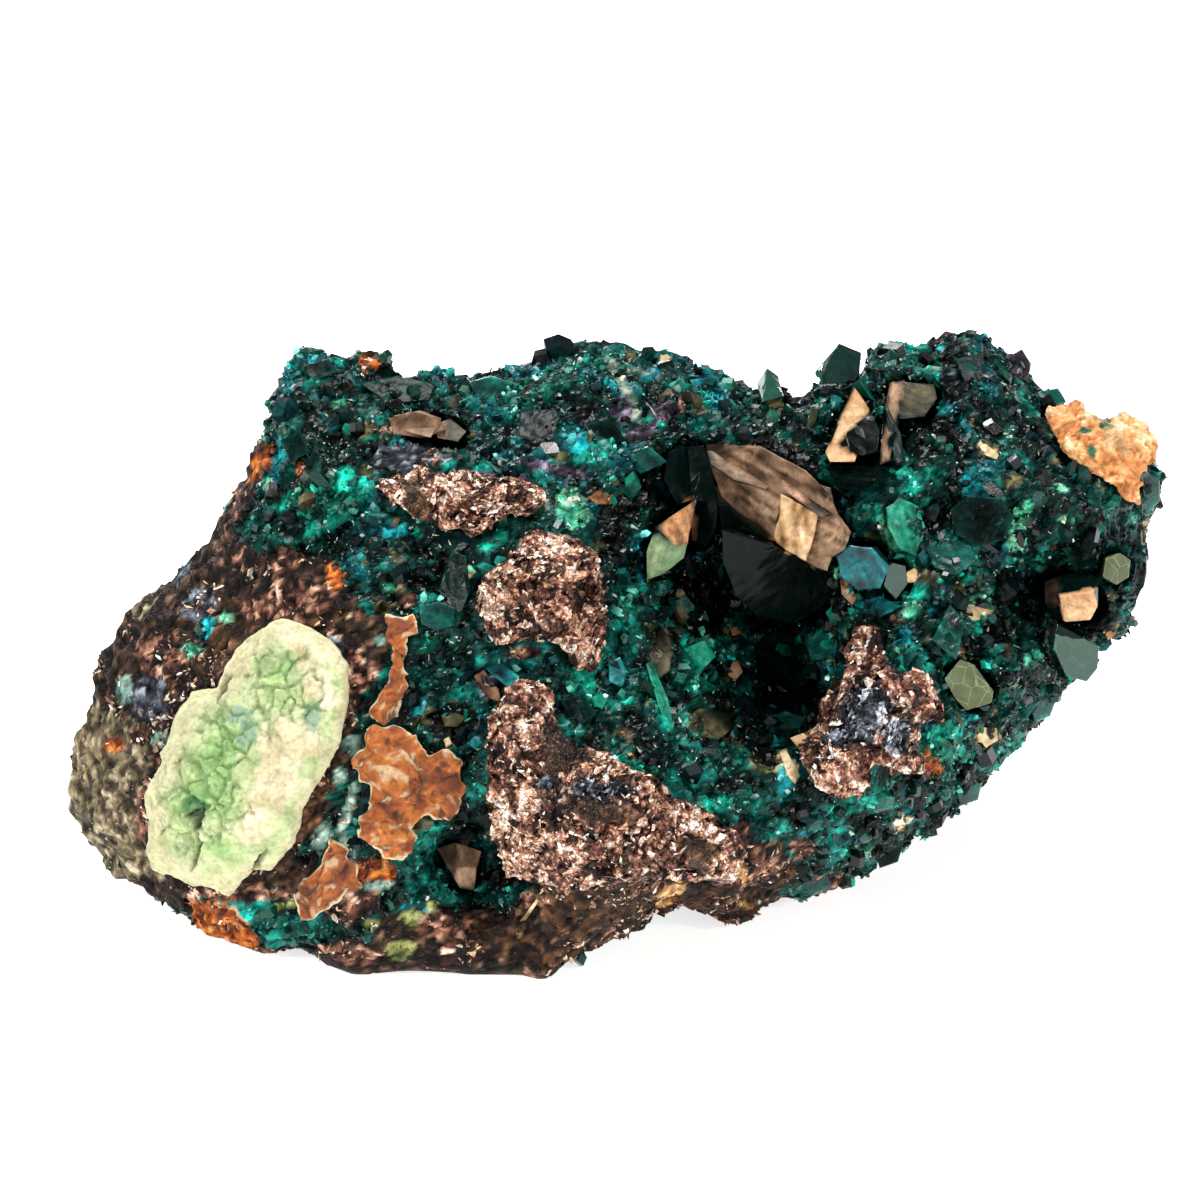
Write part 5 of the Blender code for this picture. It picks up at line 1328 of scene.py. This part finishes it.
for index, (key, (body, painted_reflections)) in enumerate(LARGE.items()):
    shape = bmesh.new()
    shape.from_mesh(NODES[key].data)
    bmesh.ops.remove_doubles(shape, verts=shape.verts, dist=2e-6)
    bmesh.ops.dissolve_limit(shape, angle_limit=math.radians(1.5), verts=shape.verts, edges=shape.edges)
    sharp = [e for e in shape.edges if len(e.link_faces) == 2 and e.calc_face_angle(0) > math.radians(14)]
    bmesh.ops.bevel(shape, geom=sharp, offset=0.07 * MM, offset_type="OFFSET", segments=1, profile=0.5, affect="EDGES", clamp_overlap=True)
    bmesh.ops.dissolve_degenerate(shape, edges=shape.edges[:], dist=8e-6)
    bmesh.ops.triangulate(shape, faces=shape.faces[:])
    bmesh.ops.dissolve_degenerate(shape, edges=shape.edges[:], dist=8e-6)
    bmesh.ops.triangulate(shape, faces=[f for f in shape.faces if len(f.verts) > 3])
    source = bpy.data.meshes.new(key + "_source")
    shape.to_mesh(source)
    shape.free()
    cv = np.empty(len(source.vertices) * 3)
    source.vertices.foreach_get("co", cv)
    cv = cv.reshape(-1, 3)
    ct = np.array([p.vertices[:] for p in source.polygons], np.int32)
    bpy.data.meshes.remove(source)
    for _ in range(4):
        u, v, _ = to_grid(cv)
        near = np.zeros(len(ct), bool)
        for _, _, _, _, outline in painted_reflections:
            d = loop_distance(u, v, outline)[ct]
            near |= (d.max(1) > -3) & (d.min(1) < 14)
        size = longest_edge(cv, ct) / MM
        cv, ct = refine(cv, ct, (size > 2.2) | (near & (size > 0.62)))
    flat = np.cross(cv[ct[:, 1]] - cv[ct[:, 0]], cv[ct[:, 2]] - cv[ct[:, 0]])
    flat = unit(flat)
    cn = normals_of(cv, ct)
    # growth steps and dents, over the whole crystal
    steps = streaks(cv, 0.85, 0.5, 0.55, 3.0, 900 + index)
    step = np.floor(steps * 4) / 4
    dent = fbm(cv, 1.1, 2, 905)
    cv = cv + cn * ((0.035 * step + 0.04 * dent - 0.02) * MM)[:, None]
    u, v, _ = to_grid(cv)
    wob_u, wob_v = fbm(cv, 0.9, 2, 910) * 3.0, fbm(cv, 0.9, 2, 915) * 3.0
    tint = pick(INKY, 0.45 + 0.6 * fbm(cv, 1.2, 3, 920))
    cc = cv[ct].mean(1)
    uc, vc, _ = to_grid(cc)
    number_c = np.zeros(len(ct), np.int32)
    facing_c = -(flat @ INTO)
    # front faces inside each outline get the painted reflection's colour, streaked, and darker towards the outline
    for tones, (du, dv), width, strength, outline in painted_reflections:
        d = loop_distance(u + wob_u, v + wob_v, outline)
        line = streaks(cv, du, dv, width, 2.6, 930 + index)
        tone = 0.58 + 0.30 * fbm(cv, 1.3, 3, 940) + 0.62 * strength * np.minimum(line, 0.15) - 0.30 * (1 - smooth(d, 0.0, 4.0))
        tint = np.where((d > 0)[:, None], pick(tones, tone), tint)
        inside_ = (d[ct].max(1) > 0) & (facing_c > 0.30)
        number_c[inside_] = 1
    piece = object_from(key + "_crystal", cv, ct, colours=tint)
    piece.data.materials.append(body)
    piece.data.materials.append(FACE)
    piece.data.polygons.foreach_set("material_index", number_c)
    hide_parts(key)
    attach(piece, "root")
    print(key, len(ct))


# ------------------------------------------------------------------ single crystals and crystal faces in the druse
SURFACE = BVHTree.FromPolygons(verts.tolist(), tris.tolist())


def depth_at(u, v):
    """Depth of the front surface under a place on the drawing grid, or None beside the stone."""
    start = Vector(EYE)
    way = (Vector(at(u, v, 0.0)) - start).normalized()
    found = None
    for tree in (SURFACE, OTHERS):
        place, _, _, far = tree.ray_cast(start, way)
        if place is not None and (found is None or far < found[1]):
            found = (place, far)
    return None if found is None else to_grid(np.array([found[0][:]]))[2][0]


def blocks(name, specs, mat, seed, edge_light):
    """One joined piece of single crystals: each a closed block with a bevelled front face that follows its outline."""
    rng = np.random.default_rng(seed)
    all_v, all_t, all_c, base = [], [], [], 0
    for number_, (tones, (du, dv), strength, lift, thick, outline) in enumerate(specs):
        ring = np.array(outline, float)
        mu, mv = ring.mean(0)
        spots = [(mu, mv)] + [tuple(q) for q in ring] + [((q[0] + mu) / 2, (q[1] + mv) / 2) for q in ring]
        rows = [(u, v, depth_at(u, v)) for u, v in spots]
        rows = np.array([r for r in rows if r[2] is not None])
        if len(rows) < 5:
            continue
        middle_d = np.median(rows[:, 2])
        rows = rows[np.abs(rows[:, 2] - middle_d) < 2.5]
        fit = np.linalg.lstsq(np.c_[np.ones(len(rows)), rows[:, 0] - mu, rows[:, 1] - mv], rows[:, 2], rcond=None)[0]
        slope = np.clip(fit[1:], -0.05, 0.05) + rng.normal(size=2) * 0.010
        level_ = np.median(rows[:, 2] - (rows[:, 0] - mu) * slope[0] - (rows[:, 1] - mv) * slope[1])

        def corner(q, extra):
            return at(q[0], q[1], level_ + (q[0] - mu) * slope[0] + (q[1] - mv) * slope[1] + extra)

        reach = np.linalg.norm(ring - (mu, mv), axis=1).mean()
        inner = (mu, mv) + (ring - (mu, mv)) * max(0.7, 1 - 1.6 / reach)
        rings = [[corner(q, -lift) for q in inner], [corner(q, -lift + 0.10) for q in ring], [corner(q, thick) for q in ring]]
        n = len(ring)
        shape = bmesh.new()
        made = [[shape.verts.new(q) for q in row] for row in rings]
        shape.faces.new(made[0])
        shape.faces.new(made[2][::-1])
        for a, b in ((0, 1), (1, 2)):
            for k in range(n):
                shape.faces.new((made[a][k], made[b][k], made[b][(k + 1) % n], made[a][(k + 1) % n]))
        bmesh.ops.recalc_face_normals(shape, faces=shape.faces[:])
        bmesh.ops.triangulate(shape, faces=shape.faces[:])
        shape.verts.index_update()
        bv_ = np.array([q.co[:] for q in shape.verts])
        bt_ = np.array([[q.index for q in f.verts] for f in shape.faces], np.int32)
        shape.free()
        for _ in range(4):
            bv_, bt_ = refine(bv_, bt_, longest_edge(bv_, bt_) / MM > 0.62)
        bn_ = normals_of(bv_, bt_)
        u, v, d = to_grid(bv_)
        line = streaks(bv_, du, dv, 0.3, 2.4, 950 + number_)
        dent = fbm(bv_, 0.9, 2, 960 + number_)
        bv_ = bv_ + bn_ * ((0.05 * np.floor(line * 4) / 4 + 0.05 * dent) * MM)[:, None]
        rim = np.abs(loop_distance(u, v, outline))
        # edge_light is a painted highlight along each block's outline; the next line darkens the block behind its front
        # face, a painted shade
        tone = 0.50 + 0.45 * fbm(bv_, 1.2, 3, 970) + 0.6 * strength * np.minimum(line, 0.2) + edge_light * (1 - smooth(rim, 0.3, 2.6))
        tone = tone - 0.35 * smooth(d, level_ + 0.2, level_ + 0.9)
        all_v.append(bv_)
        all_t.append(bt_ + base)
        all_c.append(pick(tones, tone))
        base += len(bv_)
    made = object_from(name, np.concatenate(all_v), np.concatenate(all_t), colours=np.concatenate(all_c))
    made.data.materials.append(mat)
    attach(made, "root")
    print(name, len(made.data.polygons))


TEALY = palette("#010807", "#03201d", "#07403a", "#0c5e54", "#3aa890")
TURQ = palette("#010e10", "#042c32", "#075860", "#0c8086", "#4cc0bc")
MINTY = palette("#04281f", "#0e5a48", "#27967a", "#7ccca6")
PLUM = palette("#0a0709", "#1c1519", "#352a30", "#5c4a50")
STRAW = palette("#5a4830", "#a89068", "#dcc8a0", "#f6ecd0")
D = (0.7, 0.7)
# crystal faces painted with the colours of reflections: tan, rose, cream, sand, rust and straw, with a few dark moss
# ones
blocks("painted_reflection_faces", [
    (TAN, (0.88, 0.47), 1.3, 0.75, 1.2, [(706, 445), (760, 446), (786, 460), (806, 471), (829, 493), (838, 515), (851, 532), (845, 549), (832, 557), (827, 571), (812, 566), (798, 556), (776, 541), (756, 524), (737, 511), (722, 496), (712, 470)]),
    (ROSE, (0.88, 0.47), 1.6, 0.95, 0.8, [(778, 464), (806, 473), (828, 494), (836, 514), (822, 518), (800, 503), (784, 490)]),
    (CREAM, (0.1, 1.0), 1.0, 1.35, 0.9, [(781, 494), (818, 513), (814, 536), (806, 561), (786, 550), (773, 538), (778, 520)]),
    (ROSE, (0.9, -0.4), 1.2, 0.3, 0.8, [(838, 572), (846, 575), (857, 598), (852, 605), (842, 594)]),
    (CREAM, D, 0.3, 0.3, 0.8, [(905, 574), (914, 568), (921, 573), (916, 582), (908, 583)]),
    (RUSTY, D, 0.3, 0.3, 0.8, [(730, 628), (739, 626), (742, 633), (733, 636)]),
    (SAND, D, 0.3, 0.4, 0.8, [(727, 664), (738, 660), (743, 672), (735, 682), (728, 676)]),
    (SAND, D, 0.3, 0.4, 0.8, [(790, 738), (803, 733), (811, 740), (799, 749)]),
    (STRAW, (0.4, 0.9), 0.9, 0.3, 0.8, [(779, 752), (786, 748), (800, 776), (795, 784), (788, 776)]),
    (MOSS, (0.2, 1.0), 0.3, 0.3, 0.8, [(812, 406), (820, 408), (815, 424), (808, 434), (806, 428)]),
    (STRAW, (1.0, -0.2), 0.3, 0.2, 0.8, [(766, 405), (780, 401), (783, 406), (770, 411)]),
    (STRAW, D, 0.3, 0.2, 0.8, [(657, 357), (667, 354), (671, 360), (661, 363)]),
    (RUSTY, (0.9, 0.2), 0.5, 0.2, 0.8, [(588, 497), (600, 490), (612, 496), (610, 504), (596, 505)]),
    (STRAW, (0.8, 0.6), 0.4, 0.2, 0.8, [(976, 443), (986, 444), (999, 455), (997, 460), (984, 455)]),
    (STRAW, D, 0.4, 0.3, 0.8, [(963, 612), (976, 606), (994, 610), (990, 619), (972, 621)]),
    (STRAW, D, 0.4, 0.5, 0.9, [(975, 736), (984, 727), (997, 728), (998, 740), (986, 748)]),
    (RUSTY, D, 0.3, 0.3, 0.8, [(1104, 632), (1110, 629), (1115, 635), (1108, 640)]),
    (STRAW, D, 0.3, 0.3, 0.8, [(1115, 650), (1124, 646), (1128, 656), (1120, 660)]),
    (SAND, (0.3, 1.0), 0.5, 0.3, 0.8, [(460, 568), (470, 565), (476, 572), (468, 580), (461, 576)]),
    (SAND, (0.3, 1.0), 0.5, 0.3, 0.8, [(445, 582), (454, 578), (459, 586), (450, 595)]),
    (MOSS, (0.8, -0.4), 0.9, 0.4, 0.9, [(682, 720), (700, 708), (728, 712), (735, 726), (716, 742), (692, 738)]),
    (MOSS, (0.3, 1.0), 0.9, 0.4, 0.9, [(660, 625), (672, 640), (670, 670), (658, 680), (648, 655)]),
    (ROSE, (0.6, 0.8), 0.9, 0.3, 0.8, [(474, 676), (484, 670), (500, 690), (501, 702), (486, 698)]),
    (MOSS, (0.9, 0.2), 0.7, 0.3, 0.8, [(442, 718), (455, 711), (467, 718), (458, 727), (445, 726)]),
    (STRAW, D, 0.3, 0.3, 0.8, [(443, 740), (449, 737), (452, 744), (446, 748)]),
    (TAN, (0.9, 0.3), 0.9, 0.4, 0.9, [(388, 418), (412, 411), (440, 418), (446, 430), (424, 438), (394, 434)]),
    (STRAW, (0.9, 0.3), 0.4, 0.2, 0.8, [(549, 878), (553, 880), (526, 920), (519, 922), (534, 902)]),
], FACE, 31, 0.0)
blocks("glass_blocks", [
    (TEALY, D, 0.3, 0.5, 0.9, [(420, 606), (438, 601), (456, 608), (454, 626), (436, 631), (421, 624)]),
    (TURQ, (0.5, 0.9), 0.8, 0.8, 0.9, [(836, 556), (850, 545), (872, 548), (890, 566), (880, 588), (858, 591), (842, 578)]),
    (TEALY, (0.8, 0.5), 0.6, 0.6, 0.9, [(925, 548), (944, 536), (972, 542), (976, 560), (956, 575), (934, 568)]),
    (TEALY, D, 0.3, 0.4, 0.9, [(1132, 484), (1148, 472), (1160, 480), (1160, 500), (1150, 514), (1136, 508)]),
    (TEALY, (0.9, 0.3), 0.6, 0.9, 0.9, [(804, 640), (822, 633), (841, 642), (836, 658), (812, 660)]),
    (TEALY, (0.9, 0.3), 0.6, 0.5, 0.9, [(767, 716), (786, 711), (806, 718), (800, 729), (775, 730)]),
    (GLOW, D, 0.6, 0.5, 0.9, [(592, 698), (601, 692), (608, 700), (602, 709), (594, 707)]),
    (TURQ, (0.3, 1.0), 0.6, 0.6, 0.9, [(608, 662), (620, 657), (627, 672), (622, 687), (609, 682)]),
    (GLOW, (0.4, 1.0), 0.4, 0.5, 0.9, [(646, 664), (652, 661), (668, 700), (674, 728), (668, 733), (658, 704)]),
    (TURQ, D, 0.4, 0.5, 0.9, [(486, 668), (500, 661), (519, 676), (518, 690), (506, 686), (494, 676)]),
    (MINTY, (0.3, 1.0), 0.8, 0.5, 0.9, [(886, 508), (900, 498), (918, 506), (926, 530), (916, 556), (898, 548), (888, 528)]),
    (PLUM, D, 0.5, 0.4, 0.9, [(1010, 356), (1022, 349), (1031, 364), (1028, 383), (1014, 380)]),
    (TEALY, (0.9, 0.2), 0.6, 0.5, 0.9, [(452, 386), (490, 376), (520, 384), (500, 402), (462, 402)]),
    (TEALY, (0.6, 0.7), 0.6, 0.5, 0.9, [(1036, 392), (1058, 388), (1066, 402), (1052, 412)]),
    (TEALY, D, 0.6, 0.5, 0.9, [(1030, 700), (1060, 690), (1050, 716), (1034, 722)]),
    (TEALY, D, 0.6, 0.4, 0.9, [(956, 790), (984, 776), (978, 800), (960, 806)]),
    (TEALY, D, 0.6, 0.4, 0.9, [(800, 884), (826, 872), (832, 886), (812, 896)]),
    (TURQ, D, 0.6, 0.5, 0.9, [(690, 380), (716, 376), (728, 396), (706, 410)]),
    (TEALY, D, 0.6, 0.5, 0.9, [(620, 455), (648, 446), (668, 462), (640, 474)]),
    (GLOW, (0.7, 0.5), 0.6, 0.5, 0.9, [(684, 648), (704, 640), (716, 656), (700, 672), (686, 664)]),
    (TEALY, (0.4, 0.9), 0.8, 0.5, 0.9, [(932, 640), (950, 604), (966, 622), (956, 660)]),
    (TURQ, (0.6, 0.6), 0.7, 0.5, 0.9, [(852, 604), (880, 596), (902, 606), (880, 618)]),
], dark_glass, 32, 0.18)
blocks("ink_blocks", [
    (INKY, (1.0, 0.1), 0.6, 0.5, 0.9, [(822, 466), (860, 465), (898, 466), (902, 480), (884, 492), (846, 490), (826, 482)]),
    (INKY, (0.8, 0.6), 0.8, 0.7, 0.9, [(950, 510), (968, 496), (1000, 498), (1014, 516), (1004, 540), (976, 547), (956, 534)]),
    (INKY, (0.1, 1.0), 0.8, 0.6, 0.9, [(452, 549), (466, 556), (471, 590), (462, 612), (446, 618), (438, 590)]),
    (INKY, (0.8, 0.4), 0.8, 0.7, 0.9, [(750, 650), (775, 632), (812, 634), (833, 652), (826, 678), (790, 691), (760, 678)]),
    (INKY, D, 0.6, 0.4, 0.9, [(595, 722), (602, 709), (609, 722)]),
    (INKY, (0.9, 0.2), 0.6, 0.5, 0.9, [(360, 384), (396, 376), (436, 384), (430, 400), (390, 404)]),
    (INKY, (0.6, 0.7), 0.6, 0.5, 0.9, [(520, 412), (556, 408), (566, 432), (540, 446), (518, 436)]),
    (INKY, (0.2, 1.0), 0.6, 0.5, 0.9, [(956, 360), (982, 352), (988, 380), (968, 394)]),
    (INKY, (0.2, 1.0), 0.6, 0.5, 0.9, [(884, 400), (900, 432), (906, 462), (896, 466), (890, 440)]),
    (INKY, D, 0.6, 0.4, 0.9, [(876, 856), (904, 842), (898, 862), (880, 868)]),
    (INKY, D, 0.6, 0.5, 0.9, [(302, 366), (328, 358), (338, 372), (312, 382)]),
    (INKY, D, 0.6, 0.5, 0.9, [(280, 440), (300, 430), (310, 452), (290, 462)]),
    (INKY, (0.9, 0.3), 0.9, 0.5, 0.9, [(585, 425), (612, 418), (626, 440), (600, 452)]),
    (INKY, (0.4, 0.9), 0.8, 0.5, 0.9, [(560, 700), (584, 694), (596, 716), (574, 730)]),
    (INKY, (0.6, 0.6), 0.7, 0.5, 0.9, [(1062, 548), (1090, 542), (1100, 562), (1076, 572)]),
], druse_material("ink_glass", 0.1, 0.06, 1.45), 33, 0.30)
